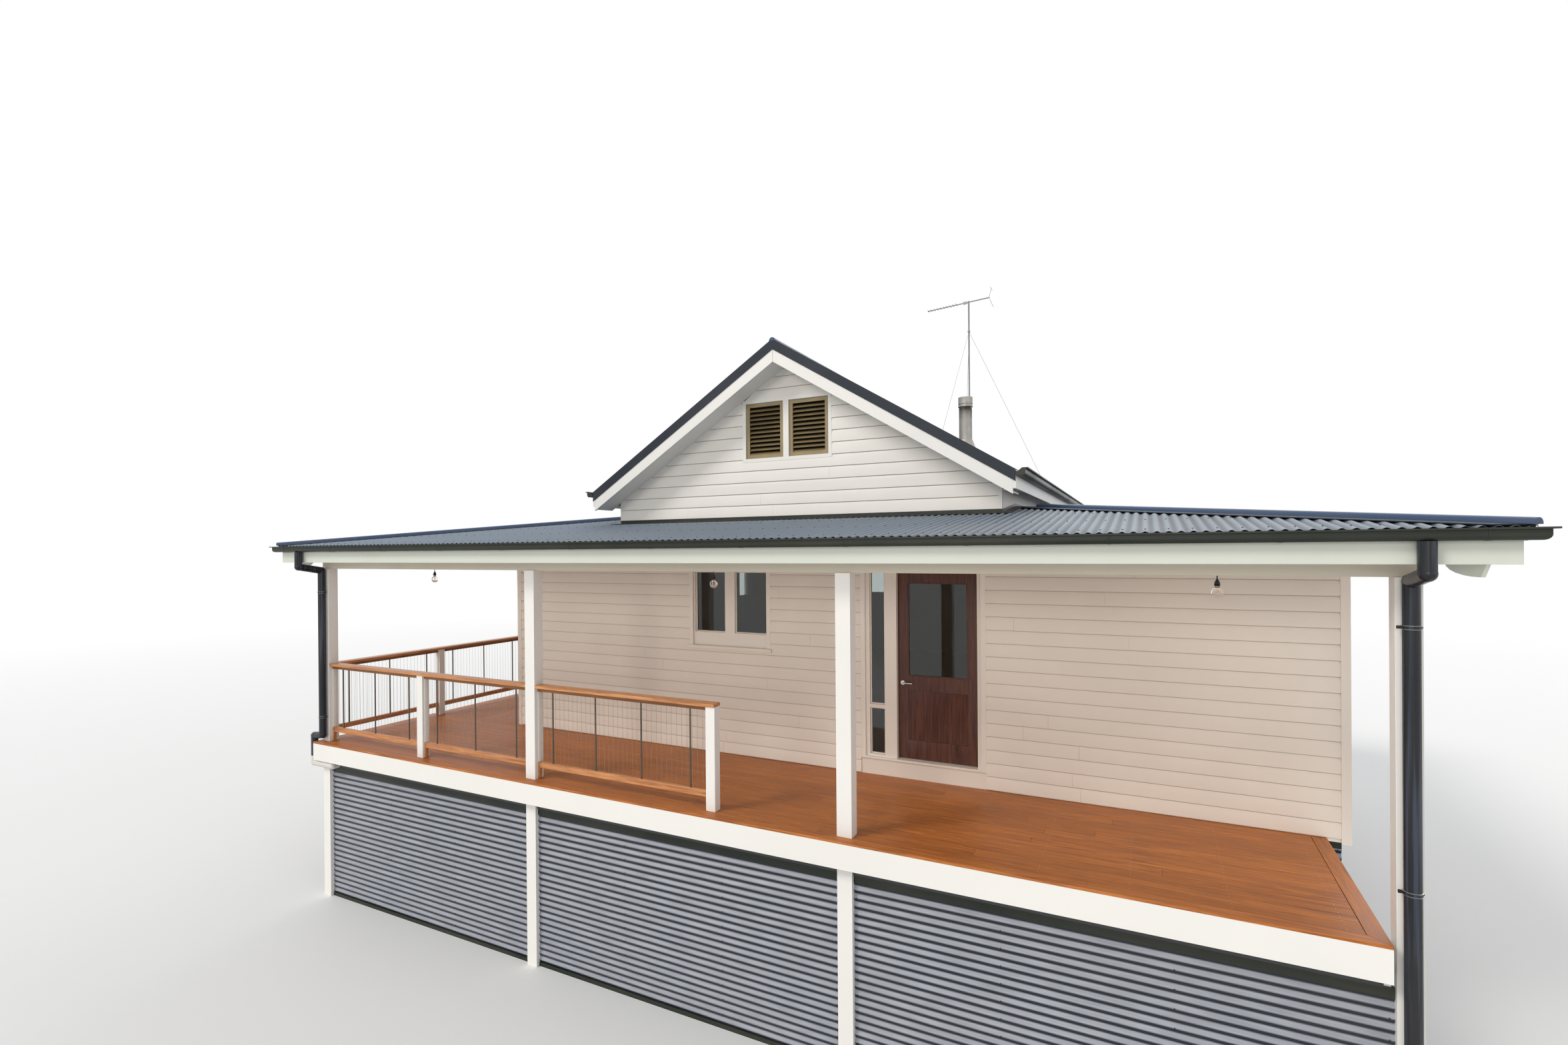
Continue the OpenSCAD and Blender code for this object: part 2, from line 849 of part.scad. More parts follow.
module lower_roof() {
    gap = joint / 2;
    hip = joint * 0.75;
    color(dark) {
        // Front and rear planes, each in three pieces beside and before the gabled centre
        for (side = [0, 2]) {
            left = side == 0 ? core_l : -core_r;
            right = side == 0 ? core_r : -core_l;
            wall_in = front_over - gap;
            low_plane(side, [
                [-half_w + sheet_edge + hip, sheet_edge], [left - gap, sheet_edge],
                [left - gap, left - gap + half_w - hip]
            ]);
            low_plane(side, [
                [left + gap, sheet_edge], [right - gap, sheet_edge],
                [right - gap, wall_in], [left + gap, wall_in]
            ]);
            low_plane(side, [
                [right + gap, sheet_edge], [half_w - sheet_edge - hip, sheet_edge],
                [right + gap, half_w - right - gap - hip]
            ]);
        }
        // Side planes
        for (side = [1, 3]) {
            wall_in = (side == 1 ? half_w - core_r : core_l + half_w) - gap;
            low_plane(side, [
                [-half_d + sheet_edge + hip, sheet_edge], [half_d - sheet_edge - hip, sheet_edge],
                [half_d - wall_in - hip, wall_in], [-half_d + wall_in + hip, wall_in]
            ]);
        }
    }
}

module wall_flashings() {
    color(dark)
        difference() {
            union() {
                intersection() {
                    low_layer(low_sheet_v + seat, low_sheet_v + cap_t);
                    core_block(flashing_w);
                }
                intersection() {
                    low_layer(low_sheet_v + seat, low_sheet_v + flashing_up);
                    core_block(cap_t);
                }
            }
            core_block(0);
        }
}

module eave_gutters() {
    foot = eave_z + gutter_lift - gutter_h;
    back_h = eave_z - gutter_t * low_rise - 1 - foot;
    hip = joint * 0.75;
    color(dark)
        for (side = [0 : 3]) {
            half = half_side(side);
            from_gutter(side)
                intersection() {
                    translate([0, 0, foot])
                        run_x(2 * half)
                            gutter_outline(back_h);
                    linear_extrude(tall)
                        polygon([
                            [-half + hip, 0], [half - hip, 0],
                            [half - gutter_w - hip, gutter_w], [-half + gutter_w + hip, gutter_w]
                        ]);
                }
        }
}

module eave_fascias() {
    out_w = half_w - gutter_w;
    out_d = half_d - gutter_w;
    color(white) {
        intersection() {
            for (s = [-1, 1]) {
                // Front and rear boards run through, and the side boards stand between them
                translate([0, s * (out_d - fascia_t / 2), 0])
                    block([-out_w, -fascia_t / 2, fascia_z], [out_w, fascia_t / 2, tall]);
                translate([s * (out_w - fascia_t / 2), 0, 0])
                    block(
                        [-fascia_t / 2, -out_d + fascia_t + joint, fascia_z],
                        [fascia_t / 2, out_d - fascia_t - joint, tall]
                    );
            }
            below_low(0, gutter_w);
        }
        // Shaped end of the hip timber under each corner
        for (sx = [-1, 1], sy = [-1, 1]) {
            translate([sx * (out_w - fascia_t - tail_in), sy * (out_d - fascia_t - tail_in), ceiling_z])
                rotate(atan2(-sy, -sx))
                    run_y(tail_t)
                        polygon(concat(
                            [[0, 0], [tail_h * 0.35, -tail_h]],
                            [
                                for (i = [1 : 6])
                                    [tail_h * 0.35 + (tail_l - tail_h * 0.35) * sin(i * 15), -tail_h * cos(i * 15)]
                            ]
                        ));
        }
    }
}

module verandah_beams() {
    half = beam_w / 2;
    color(white) {
        block([side_x - post_w / 2, front_y - half, beam_z], [post_w / 2 - side_x, front_y + half, ceiling_z]);
        block(
            [side_x - half, front_y + half + joint, beam_z],
            [side_x + half, posts_y[3] + post_w / 2, ceiling_z]
        );
        // Short beams from the end posts back to the walls
        block([-side_x - half, front_y + half + joint, beam_z], [half - side_x, wall_f, ceiling_z]);
        block(
            [side_x + half + joint, posts_y[3] - half, beam_z],
            [wall_l, posts_y[3] + half, ceiling_z]
        );
    }
}

// Centres of all the posts
function post_places() = concat(
    [for (x = posts_x) [x, front_y]],
    [for (i = [1 : 3]) [side_x, posts_y[i]]]
);

module verandah_posts() {
    color(white)
        for (p = post_places()) {
            block([p[0] - post_w / 2, p[1] - post_w / 2, 0], [p[0] + post_w / 2, p[1] + post_w / 2, beam_z]);
        }
}

module newel_posts() {
    top = deck_h + rail_h - rail_t;
    half = newel_w / 2;
    color(white) {
        for (i = [1, 3]) {
            block([front_stops[i] - half, front_y - half, deck_h], [front_stops[i] + half, front_y + half, top]);
        }
        for (i = [1, 3, 5]) {
            block([side_x - half, side_stops[i] - half, deck_h], [side_x + half, side_stops[i] + half, top]);
        }
    }
}

// Spans between stops: from the face of one to the face of the next
function spans(stops, widths) = [
    for (i = [0 : len(stops) - 2])
        [stops[i] + widths[i] / 2, stops[i + 1] - widths[i + 1] / 2]
];

// The balustrade's two sides: the front as it is, and the left side turned to run along X
module along_sides() {
    translate([0, front_y, 0])
        children(0);
    translate([side_x, 0, 0])
        rotate(90)
            children(1);
}

// Handrail from post to post, with the rail under it and the bottom rail between the newels
module rail_run(stops, widths) {
    last = len(stops) - 1;
    under = deck_h + rail_h - rail_t;
    for (i = [0 : 2 : last - 1]) {
        to = min(i + 2, last);
        end = widths[to] == post_w ? stops[to] - post_w / 2 : stops[to] + newel_w / 2;
        block([stops[i] + post_w / 2, -rail_w / 2, under], [end, rail_w / 2, under + rail_t]);
    }
    for (s = spans(stops, widths)) {
        block([s[0], -stiffener_w / 2, under - stiffener_h], [s[1], stiffener_w / 2, under]);
        block(
            [s[0], -stiffener_w / 2, deck_h + bottom_rail_top - bottom_rail_h],
            [s[1], stiffener_w / 2, deck_h + bottom_rail_top]
        );
        // Blocks that carry the rails' ends
        for (x = [s[0], s[1] - rail_block_w]) {
            block([x, -stiffener_w / 2, deck_h], [x + rail_block_w, stiffener_w / 2, deck_h + bottom_rail_top]);
        }
    }
}

module balustrade_rails() {
    color(timber)
        along_sides() {
            rail_run(front_stops, front_widths);
            rail_run(side_stops, side_widths);
        }
}

// Steel uprights in each span, evenly spaced
module upright_run(stops, widths) {
    foot = deck_h + bottom_rail_top;
    top = deck_h + rail_h - rail_t - stiffener_h;
    for (s = spans(stops, widths)) {
        length = s[1] - s[0] - 2 * upright_end;
        count = round(length / upright_pitch);
        for (i = [0 : count]) {
            translate([s[0] + upright_end + length * i / count, 0, foot])
                cylinder(h = top - foot, d = upright_d);
        }
    }
}

module steel_uprights() {
    color(steel)
        along_sides() {
            upright_run(front_stops, front_widths);
            upright_run(side_stops, side_widths);
        }
}

module deck() {
    color(timber)
        difference() {
            union() {
                block([deck_left, deck_front, board_z], [deck_right, wall_f, deck_h]);
                block([deck_left, wall_f + joint, board_z], [wall_l, wall_b, deck_h]);
            }
            for (p = post_places()) {
                block(
                    [p[0] - post_w / 2, p[1] - post_w / 2, 0],
                    [p[0] + post_w / 2, p[1] + post_w / 2, beam_z]
                );
            }
        }
}

module deck_rims() {
    low = board_z - rim_h;
    color(white) {
        block([deck_left, deck_front, low], [deck_right, deck_front + rim_t, board_z]);
        block([deck_left, deck_front + rim_t + joint, low], [deck_left + rim_t, wall_b, board_z]);
        block([deck_right - rim_t, deck_front + rim_t + joint, low], [deck_right, wall_f, board_z]);
        block([deck_left + rim_t + joint, wall_b - rim_t, low], [wall_l, wall_b, board_z]);
    }
}

module deck_joists() {
    color(timber) {
        // Joists of the front deck, from the front wall to the rim
        for (i = [0 : 2], k = [0 : joists - 1]) {
            bay = posts_x[i + 1] - posts_x[i];
            x = posts_x[i] + bay * (k + 0.5) / joists;
            block([x - joist_w / 2, deck_front + rim_t, joist_z], [x + joist_w / 2, wall_f, board_z]);
        }
        // Joists of the side deck, from the left wall to the rim
        for (i = [0 : 2], k = [0 : joists - 1]) {
            y = posts_y[i] + side_bay * (k + 0.5) / joists;
            if (y > wall_f + joist_w) {
                block([deck_left + rim_t, y - joist_w / 2, joist_z], [wall_l, y + joist_w / 2, board_z]);
            }
        }
    }
}

module deck_bearers() {
    half = bearer_w / 2;
    color(timber) {
        for (i = [0 : 2]) {
            block(
                [posts_x[i] + post_w / 2, front_y - half, bearer_z],
                [min(posts_x[i + 1] - post_w / 2, deck_right - rim_t), front_y + half, joist_z]
            );
            block(
                [side_x - half, posts_y[i] + post_w / 2, bearer_z],
                [side_x + half, posts_y[i + 1] - post_w / 2, joist_z]
            );
        }
        // Bearers against the front wall and the left wall
        block(
            [side_x + half + joint, wall_f - bearer_w, bearer_z],
            [deck_right - rim_t, wall_f, joist_z]
        );
        block([wall_l - bearer_w, wall_f + joint, bearer_z], [wall_l, wall_b - rim_t, joist_z]);
    }
}

module base_cladding() {
    face = clad_in - post_w / 2;
    end_x = deck_right - rim_t - clad_t;
    rear_y = posts_y[3] + post_w / 2 - clad_in;
    color(dark) {
        for (i = [0 : 2]) {
            // Between the front posts and between the left posts
            block(
                [posts_x[i] + post_w / 2, front_y + face, 0],
                [posts_x[i + 1] - post_w / 2, front_y + face + clad_t, bearer_z]
            );
            block(
                [side_x + face, posts_y[i] + post_w / 2, 0],
                [side_x + face + clad_t, posts_y[i + 1] - post_w / 2, bearer_z]
            );
        }
        // Under the right end of the deck
        block(
            [end_x, front_y + face + clad_t + joint, 0],
            [end_x + clad_t, wall_f + clad_in - joint, bearer_z]
        );
        // Under the rear end of the deck, with a return to the rear wall
        block(
            [side_x + post_w / 2, rear_y - clad_t, 0],
            [wall_l - joint, rear_y, bearer_z]
        );
        block(
            [wall_l, rear_y - clad_t, 0],
            [wall_l + clad_t, wall_b - clad_in - clad_t - joint, wall_foot]
        );
        // Under the outer walls
        block([end_x, wall_f + clad_in, 0], [wall_r - clad_in, wall_f + clad_in + clad_t, wall_foot]);
        block(
            [wall_r - clad_in - clad_t, wall_f + clad_in + clad_t + joint, 0],
            [wall_r - clad_in, wall_b - clad_in - clad_t - joint, wall_foot]
        );
        block(
            [wall_l, wall_b - clad_in - clad_t, 0],
            [wall_r - clad_in, wall_b - clad_in, wall_foot]
        );
    }
}

module stumps() {
    low = [wall_l + clad_t + joint, wall_f + clad_in + clad_t] + [1, 1] * stump_w / 2;
    high = [wall_r, wall_b] - [1, 1] * (clad_in + clad_t + stump_w / 2);
    color(white)
        for (i = [0 : stumps_x - 1], j = [0 : stumps_y - 1]) {
            x = low[0] + (high[0] - low[0]) * i / (stumps_x - 1);
            y = low[1] + (high[1] - low[1]) * j / (stumps_y - 1);
            block([x - stump_w / 2, y - stump_w / 2, 0], [x + stump_w / 2, y + stump_w / 2, wall_foot]);
        }
}

// The two vents of each gable, front and rear
module at_vents() {
    for (s = [-1, 1], x = vents_x) {
        translate([x, s * core_b, vent_z])
            rotate(s == 1 ? 180 : 0)
                children();
    }
}

module gable_vents() {
    inner_w = vent_w - 2 * vent_frame;
    inner_h = vent_h - 2 * vent_frame;
    pitch = inner_h / vent_blades;
    reach = (vent_depth - vent_blade_t) / 2;
    color(bronze)
        at_vents() {
            difference() {
                block([-vent_w / 2, 0, 0], [vent_w / 2, vent_depth, vent_h]);
                block(
                    [-inner_w / 2, -1, vent_frame],
                    [inner_w / 2, vent_depth + 1, vent_frame + inner_h]
                );
            }
            for (i = [0 : vent_blades - 1]) {
                translate([0, vent_depth / 2, vent_frame + pitch * (i + 0.5)])
                    rotate([vent_blade_a, 0, 0])
                        block(
                            [-inner_w / 2 - 1, -reach / cos(vent_blade_a), -vent_blade_t / 2],
                            [inner_w / 2 + 1, reach / cos(vent_blade_a), vent_blade_t / 2]
                        );
            }
        }
}

module vent_surrounds() {
    reach = vent_w + vent_gap / 2 + trim_w;
    color(white)
        intersection() {
            for (s = [-1, 1]) {
                translate([core_x, s * (core_b + trim_t / 2), vent_z])
                    difference() {
                        block([-reach, -trim_t / 2, -trim_w], [reach, trim_t / 2, vent_h + trim_w]);
                        for (e = [-1, 1]) {
                            translate([e * (vent_gap + vent_w) / 2, 0, 0])
                                block([-vent_w / 2, -trim_t, 0], [vent_w / 2, trim_t, vent_h]);
                        }
                    }
            }
            // Clipped to the raked lining above
            run_y(roof_d)
                high_outline(high_half, rake_low() - seat);
        }
}

// The two panes of a window, from one face to another
module pane_pair(from, to) {
    foot = sill_z + window_rail;
    top = head_z - window_head;
    for (s = [-1, 1]) {
        mid = s * (window_w + window_mullion - 2 * window_stile) / 4;
        half = (window_w - window_mullion - 2 * window_stile) / 4;
        block([mid - half, from, foot], [mid + half, to, top]);
    }
}

module window_frames() {
    half = window_w / 2;
    color(white)
        for (w = windows) {
            on_wall(w[0])
                translate([w[1], 0, 0]) {
                    difference() {
                        union() {
                            // Frame in the opening, and the trim round it
                            block([-half, 0, sill_z], [half, frame_in + window_depth, head_z]);
                            block(
                                [-half - trim_w, -trim_t, sill_z - sill_h],
                                [half + trim_w, 0, head_z + trim_w]
                            );
                            // Sill
                            block(
                                [-half - trim_w - sill_horn, -sill_over, sill_z - sill_h],
                                [half + trim_w + sill_horn, 0, sill_z]
                            );
                        }
                        block(
                            [-half + reveal_t, -trim_t - 1, sill_z],
                            [half - reveal_t, frame_in, head_z - reveal_t]
                        );
                        pane_pair(0, frame_in + window_depth + 1);
                    }
                }
        }
}

module window_glass() {
    mid = frame_in + window_depth / 2;
    color("lightsteelblue") {
        for (w = windows) {
            on_wall(w[0])
                translate([w[1], 0, 0])
                    pane_pair(mid - glass_t / 2, mid + glass_t / 2);
        }
        sidelight_panes(mid - glass_t / 2, mid + glass_t / 2);
    }
}

// The two panes of the sidelight, from one depth to another
module sidelight_panes(from, to) {
    left = entry_x + side_jamb;
    mid = deck_h + sidelight_mid;
    on_wall(0) {
        block([left, from, deck_h + sidelight_foot], [left + sidelight_w, to, mid]);
        block([left, from, mid + sidelight_rail], [left + sidelight_w, to, head_z - entry_head]);
    }
}

module door_frame() {
    stop = door_y - door_gap;
    inner = wall_f + wall_t;
    color(white) {
        difference() {
            union() {
                block([entry_x, wall_f, floor_z], [entry_r, inner, head_z]);
                block(
                    [entry_x - trim_w, wall_f - trim_t, floor_z],
                    [entry_r + trim_w, wall_f, head_z + trim_w]
                );
            }
            block(
                [entry_x + reveal_t, wall_f - trim_t - 1, floor_z + entry_sill],
                [entry_r - reveal_t, wall_f + frame_in, head_z - reveal_t]
            );
            // Doorway, narrower outside the door by its stops
            block(
                [door_l - door_gap + stop_w, wall_f - 1, floor_z + entry_sill],
                [door_r + door_gap - stop_w, inner + 1, head_z - entry_head - stop_w]
            );
            block(
                [door_l - door_gap, stop, floor_z + entry_sill],
                [door_r + door_gap, inner + 1, head_z - entry_head]
            );
            sidelight_panes(-trim_t, wall_t + 1);
        }
    }
}

// Half of a hinge about its axis: plate towards +X, outside of the axis by hinge_out
module hinge_half(side, low, high) {
    translate([hinge_x, hinge_y, 0]) {
        translate([0, 0, low])
            cylinder(h = high - low, d = knuckle_d);
        block(
            [side == 1 ? 0 : -hinge_plate_w, -hinge_out, low],
            [side == 1 ? hinge_plate_w : 0, hinge_plate_t - hinge_out, high]
        );
    }
}

module door_hinges() {
    color(steel)
        for (z = hinges_z) {
            hinge_half(1, z - knuckle_h, z - hinge_play / 2);
        }
}

module front_door() {
    glass_z = door_z + lock_h + lock_rail_h / 2;
    panel_top = door_z + lock_h - lock_rail_h / 2;
    color("#4a2a20") {
        difference() {
            block([door_l, door_y, door_z], [door_r, door_y + door_t, door_z + door_h]);
            block(
                [door_l + door_stile, door_y - 1, glass_z],
                [door_r - door_stile, door_y + door_t + 1, door_z + door_h - door_stile]
            );
            for (y = [door_y - 1, door_y + door_t - door_sunk]) {
                block(
                    [door_l + door_stile, y, door_z + door_foot],
                    [door_r - door_stile, y + door_sunk + 1, panel_top]
                );
            }
        }
        for (z = hinges_z) {
            hinge_half(-1, z + hinge_play / 2, z + knuckle_h);
        }
    }
}

module door_glass() {
    mid = door_y + door_t / 2;
    color("lightsteelblue")
        block(
            [door_l + door_stile, mid - door_glass_t / 2, door_z + lock_h + lock_rail_h / 2],
            [door_r - door_stile, mid + door_glass_t / 2, door_z + door_h - door_stile]
        );
}

module door_handles() {
    x = door_l + backset;
    z = door_z + lock_h;
    rose_t = 8;
    color(steel)
        for (s = [-1, 1]) {
            y = door_y + door_t / 2 + s * door_t / 2;
            translate([x, y, z])
                rotate([-s * 90, 0, 0]) {
                    cylinder(h = rose_t, d = rose_d);
                    cylinder(h = lever_out, d = lever_d);
                    translate([0, 0, lever_out - lever_d / 2])
                        rotate([0, 90, 0])
                            cylinder(h = lever_l, d = lever_d);
                }
        }
}

// A downpipe in front of a corner post, from the gutter down to a height
module downpipe(x, foot_z) {
    bend_z = fascia_z - pipe_bend;
    pipe(
        [
            [x, pipe_out_y, eave_z + gutter_lift - gutter_h], [x, pipe_out_y, bend_z],
            [x, pipe_y, bend_z - pipe_bend], [x, pipe_y, foot_z]
        ],
        downpipe_d
    );
    // Clips, each with a lug against the post
    for (z = [beam_z - clip_drop, deck_h + clip_drop]) {
        translate([x, pipe_y, z])
            cylinder(h = clip_h, d = downpipe_d + 2 * gutter_t);
        block([x - clip_h, pipe_y, z], [x + clip_h, pipe_y + downpipe_d / 2 + pipe_off, z + clip_h]);
    }
}

module downpipes() {
    turn_z = deck_h + downpipe_d;
    color(dark) {
        downpipe(-side_x, 0);
        downpipe(side_x, turn_z);
        // The left pipe turns out round the end of the deck
        pipe(
            [
                [side_x, pipe_y, turn_z + 1], [side_x, pipe_y, turn_z],
                [storm_x, pipe_y, turn_z - pipe_bend / 2], [storm_x, pipe_y, storm_top]
            ],
            downpipe_d
        );
    }
}

module stormwater_pipe() {
    low = board_z - rim_h - storm_d / 2 - pipe_off;
    end_x = storm_x + storm_l;
    color("gainsboro") {
        translate([storm_x, pipe_y, storm_top - clip_h])
            cylinder(h = clip_h, d = storm_d + 2 * gutter_t);
        pipe(
            [
                [storm_x, pipe_y, storm_top], [storm_x, pipe_y, low],
                [end_x, pipe_y, low], [end_x, front_y - bearer_w / 2, low]
            ],
            storm_d
        );
    }
}

// Everything below the top of the gabled roof's sheets
module below_high_sheets() {
    run_y(roof_d)
        high_outline(high_half, high_sheet_v + seat);
}

module flue() {
    roof_z = ridge_z - flue_x * high_rise;
    top = roof_z + flue_rise;
    foot = roof_z - flue_d;
    cowl_d = flue_d + 2 * cowl_gap + 2 * flue_t;
    color(steel)
        difference() {
            translate([core_x + flue_x, -flue_y, 0]) {
                difference() {
                    union() {
                        translate([0, 0, foot])
                            cylinder(h = top - cowl_h / 4 - foot, d = flue_d);
                        // Boot on the roof
                        translate([0, 0, foot])
                            cylinder(h = boot_h, d1 = boot_d, d2 = flue_d + 2 * flue_t);
                    }
                    translate([0, 0, foot - 1])
                        cylinder(h = top - foot + 2, d = flue_d - 2 * flue_t);
                }
                // Cowl: a band and lid held clear of the pipe by three lugs
                translate([0, 0, top - cowl_h])
                    difference() {
                        cylinder(h = cowl_h, d = cowl_d);
                        translate([0, 0, -flue_t])
                            cylinder(h = cowl_h, d = cowl_d - 2 * flue_t);
                    }
                // Clamp on the pipe
                translate([0, 0, top - cowl_h - 1.25 * clamp_h])
                    difference() {
                        cylinder(h = clamp_h, d = cowl_d);
                        translate([0, 0, -1])
                            cylinder(h = clamp_h + 2, d = flue_d - flue_t);
                    }
                for (a = [0, 120, 240]) {
                    rotate(a)
                        translate([0, 0, top - cowl_h + flue_t])
                            block(
                                [flue_d / 2 - flue_t, -flue_t, 0],
                                [cowl_d / 2 - flue_t / 2, flue_t, cowl_h / 4]
                            );
                }
            }
            below_high_sheets();
        }
}

module aerial() {
    top = ridge_z + mast_rise;
    foot = ridge_z - mast_x * high_rise;
    collar_z = top - stay_drop;
    near_end = boom_l * (1 - boom_left);
    color(steel)
        difference() {
            translate([core_x + mast_x, mast_y, 0]) {
                translate([0, 0, foot - mast_d])
                    cylinder(h = top - foot + mast_d, d = mast_d);
                // Foot and stay collar
                translate([0, 0, foot - mast_d * 2])
                    cylinder(h = mast_d * 4, d = mast_d * 3);
                translate([0, 0, collar_z - mast_d])
                    cylinder(h = mast_d, d = mast_d * 1.5);
                // Boom with its wiring box and its rods, shorter towards the far end
                translate([0, 0, top - boom_d])
                    rotate([0, -boom_slope, 0]) {
                        bar([-boom_l * boom_left, 0, 0], [near_end, 0, 0], boom_d);
                        for (i = [0 : aerial_rods - 1]) {
                            x = boom_d / 2 - boom_l * boom_left + rod_gap * i;
                            half = rod_l * (0.7 + 0.3 * i / aerial_rods) / 2;
                            bar([x, -half, 0], [x, half, 0], rod_d);
                        }
                        block([-1.5 * wiring_l, -boom_d, -boom_d], [-wiring_l / 2, boom_d, boom_d]);
                        // Reflector: two arms that lean away, with a rod across each tip
                        for (s = [-1, 1]) {
                            tip_x = near_end - boom_d / 2 + reflector_h / 6;
                            tip_z = s * reflector_h / 2;
                            bar([near_end - boom_d / 2, 0, 0], [tip_x, 0, tip_z], rod_d);
                            bar([tip_x, -rod_l / 2, tip_z], [tip_x, rod_l / 2, tip_z], rod_d);
                        }
                    }
                // Stays down to small feet on the roof
                for (s = stays) {
                    stay_z = ridge_z - abs(s[0]) * high_rise;
                    foot_place = [s[0] - mast_x, s[1] - mast_y, stay_z + mast_d / 4];
                    bar([0, 0, collar_z - mast_d / 2], foot_place, stay_d);
                    translate([foot_place[0], foot_place[1], stay_z - mast_d])
                        cylinder(h = 1.5 * mast_d, d = mast_d);
                }
            }
            below_high_sheets();
        }
}

// The places of the verandah lights under the ceiling
module at_lights() {
    for (i = [-1 : 1]) {
        translate([i * light_pitch - (i == 0 ? light_x : 0), (front_y + wall_f) / 2, ceiling_z - light_drop])
            children();
    }
}

module pendant_lights() {
    holder_z = bulb_d + bulb_neck;
    color("#222222")
        at_lights() {
            translate([0, 0, holder_z])
                cylinder(h = holder_h, d1 = holder_d, d2 = holder_d * 0.4);
            translate([0, 0, holder_z])
                cylinder(h = light_drop - holder_z, d = drop_rod_d);
            translate([0, 0, light_drop - 2 * drop_rod_d])
                cylinder(h = 2 * drop_rod_d, d = light_rose_d);
        }
}

module light_bulbs() {
    color("lightsteelblue")
        at_lights() {
            translate([0, 0, bulb_d / 2])
                sphere(d = bulb_d);
            translate([0, 0, bulb_d / 2])
                cylinder(h = bulb_d / 2 + bulb_neck, d = holder_d * 0.7);
        }
}

floor();
ceiling_lining();
front_wall_left();
front_wall_right();
front_wall_at_door();
left_wall();
right_wall();
rear_wall();
upper_walls();
upper_roof();
roof_cappings();
barge_boards();
gable_soffits();
upper_eaves();
upper_gutters();
lower_roof();
wall_flashings();
eave_gutters();
eave_fascias();
verandah_beams();
verandah_posts();
newel_posts();
balustrade_rails();
steel_uprights();
deck();
deck_rims();
deck_joists();
deck_bearers();
base_cladding();
stumps();
gable_vents();
vent_surrounds();
window_frames();
window_glass();
door_frame();
door_hinges();
front_door();
door_glass();
door_handles();
downpipes();
stormwater_pipe();
flue();
aerial();
pendant_lights();
light_bulbs();
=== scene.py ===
"""Looks of the beach house: boards, corrugated steel, deck, wires, finishes, light and camera.

Every length is in metres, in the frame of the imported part: X right, Y back from the front, Z up.
"""

import math
import random

import bmesh
import bpy
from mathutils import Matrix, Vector


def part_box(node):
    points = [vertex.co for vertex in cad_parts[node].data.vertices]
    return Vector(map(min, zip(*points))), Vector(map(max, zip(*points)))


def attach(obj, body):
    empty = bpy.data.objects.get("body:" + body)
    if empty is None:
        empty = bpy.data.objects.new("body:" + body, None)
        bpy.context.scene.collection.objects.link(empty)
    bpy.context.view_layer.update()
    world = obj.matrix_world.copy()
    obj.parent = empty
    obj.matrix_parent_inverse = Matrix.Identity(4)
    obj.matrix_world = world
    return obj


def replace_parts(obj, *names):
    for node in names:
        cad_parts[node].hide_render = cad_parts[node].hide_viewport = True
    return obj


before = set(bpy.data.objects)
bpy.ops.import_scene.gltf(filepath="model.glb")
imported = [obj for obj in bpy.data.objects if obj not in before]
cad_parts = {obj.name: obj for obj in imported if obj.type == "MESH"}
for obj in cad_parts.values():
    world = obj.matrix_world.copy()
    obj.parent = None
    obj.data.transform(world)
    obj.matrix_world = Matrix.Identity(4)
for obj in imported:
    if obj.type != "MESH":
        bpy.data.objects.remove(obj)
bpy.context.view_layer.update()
rng = random.Random(11)

HOUSE = "house"
DOOR = "front_door"

# Ribs of the corrugated steel, and the pitches of the roofs
WAVE_PITCH = 0.0762
WAVE_DEPTH = 0.017
WAVE_STEPS = 8
SHEET_T = 0.0015
LOW_RISE = math.tan(math.radians(6.4))
HIGH_RISE = math.tan(math.radians(32.2))

# A screw's head: radius and height, and its rings as shares of both
SCREW_HEAD = (0.006, 0.005)
HEAD_RINGS = ((1.0, -1.0), (1.0, 0.5), (0.55, 1.0))
HEAD_SIDES = 6

# The least width of a cut piece, and the gap between neighbours
SLIVER = 0.002

# Corners this near are joined, and points this near are one
WELD = 1e-5
SAME = 1e-6

# Degrees from which edges are shown sharp, and are eased
CREASE = 35
EASED_FROM = 40


def as_given(x, y, z):
    return (x, y, z)


def ring(centre, side, up, radius, sides):
    """Points of a circle in the plane of side and up."""
    angles = [2 * math.pi * k / sides for k in range(sides)]
    return [centre + (side * math.cos(a) + up * math.sin(a)) * radius for a in angles]


def ring_faces(rings, sides):
    """Faces of a form whose corners lie in equal rings, with flat ends."""
    faces = []
    for i in range(rings - 1):
        for k in range(sides):
            a, b = i * sides + k, i * sides + (k + 1) % sides
            faces.append((a, b, b + sides, a + sides))
    return faces + [tuple(range(sides - 1, -1, -1)), tuple(range((rings - 1) * sides, rings * sides))]


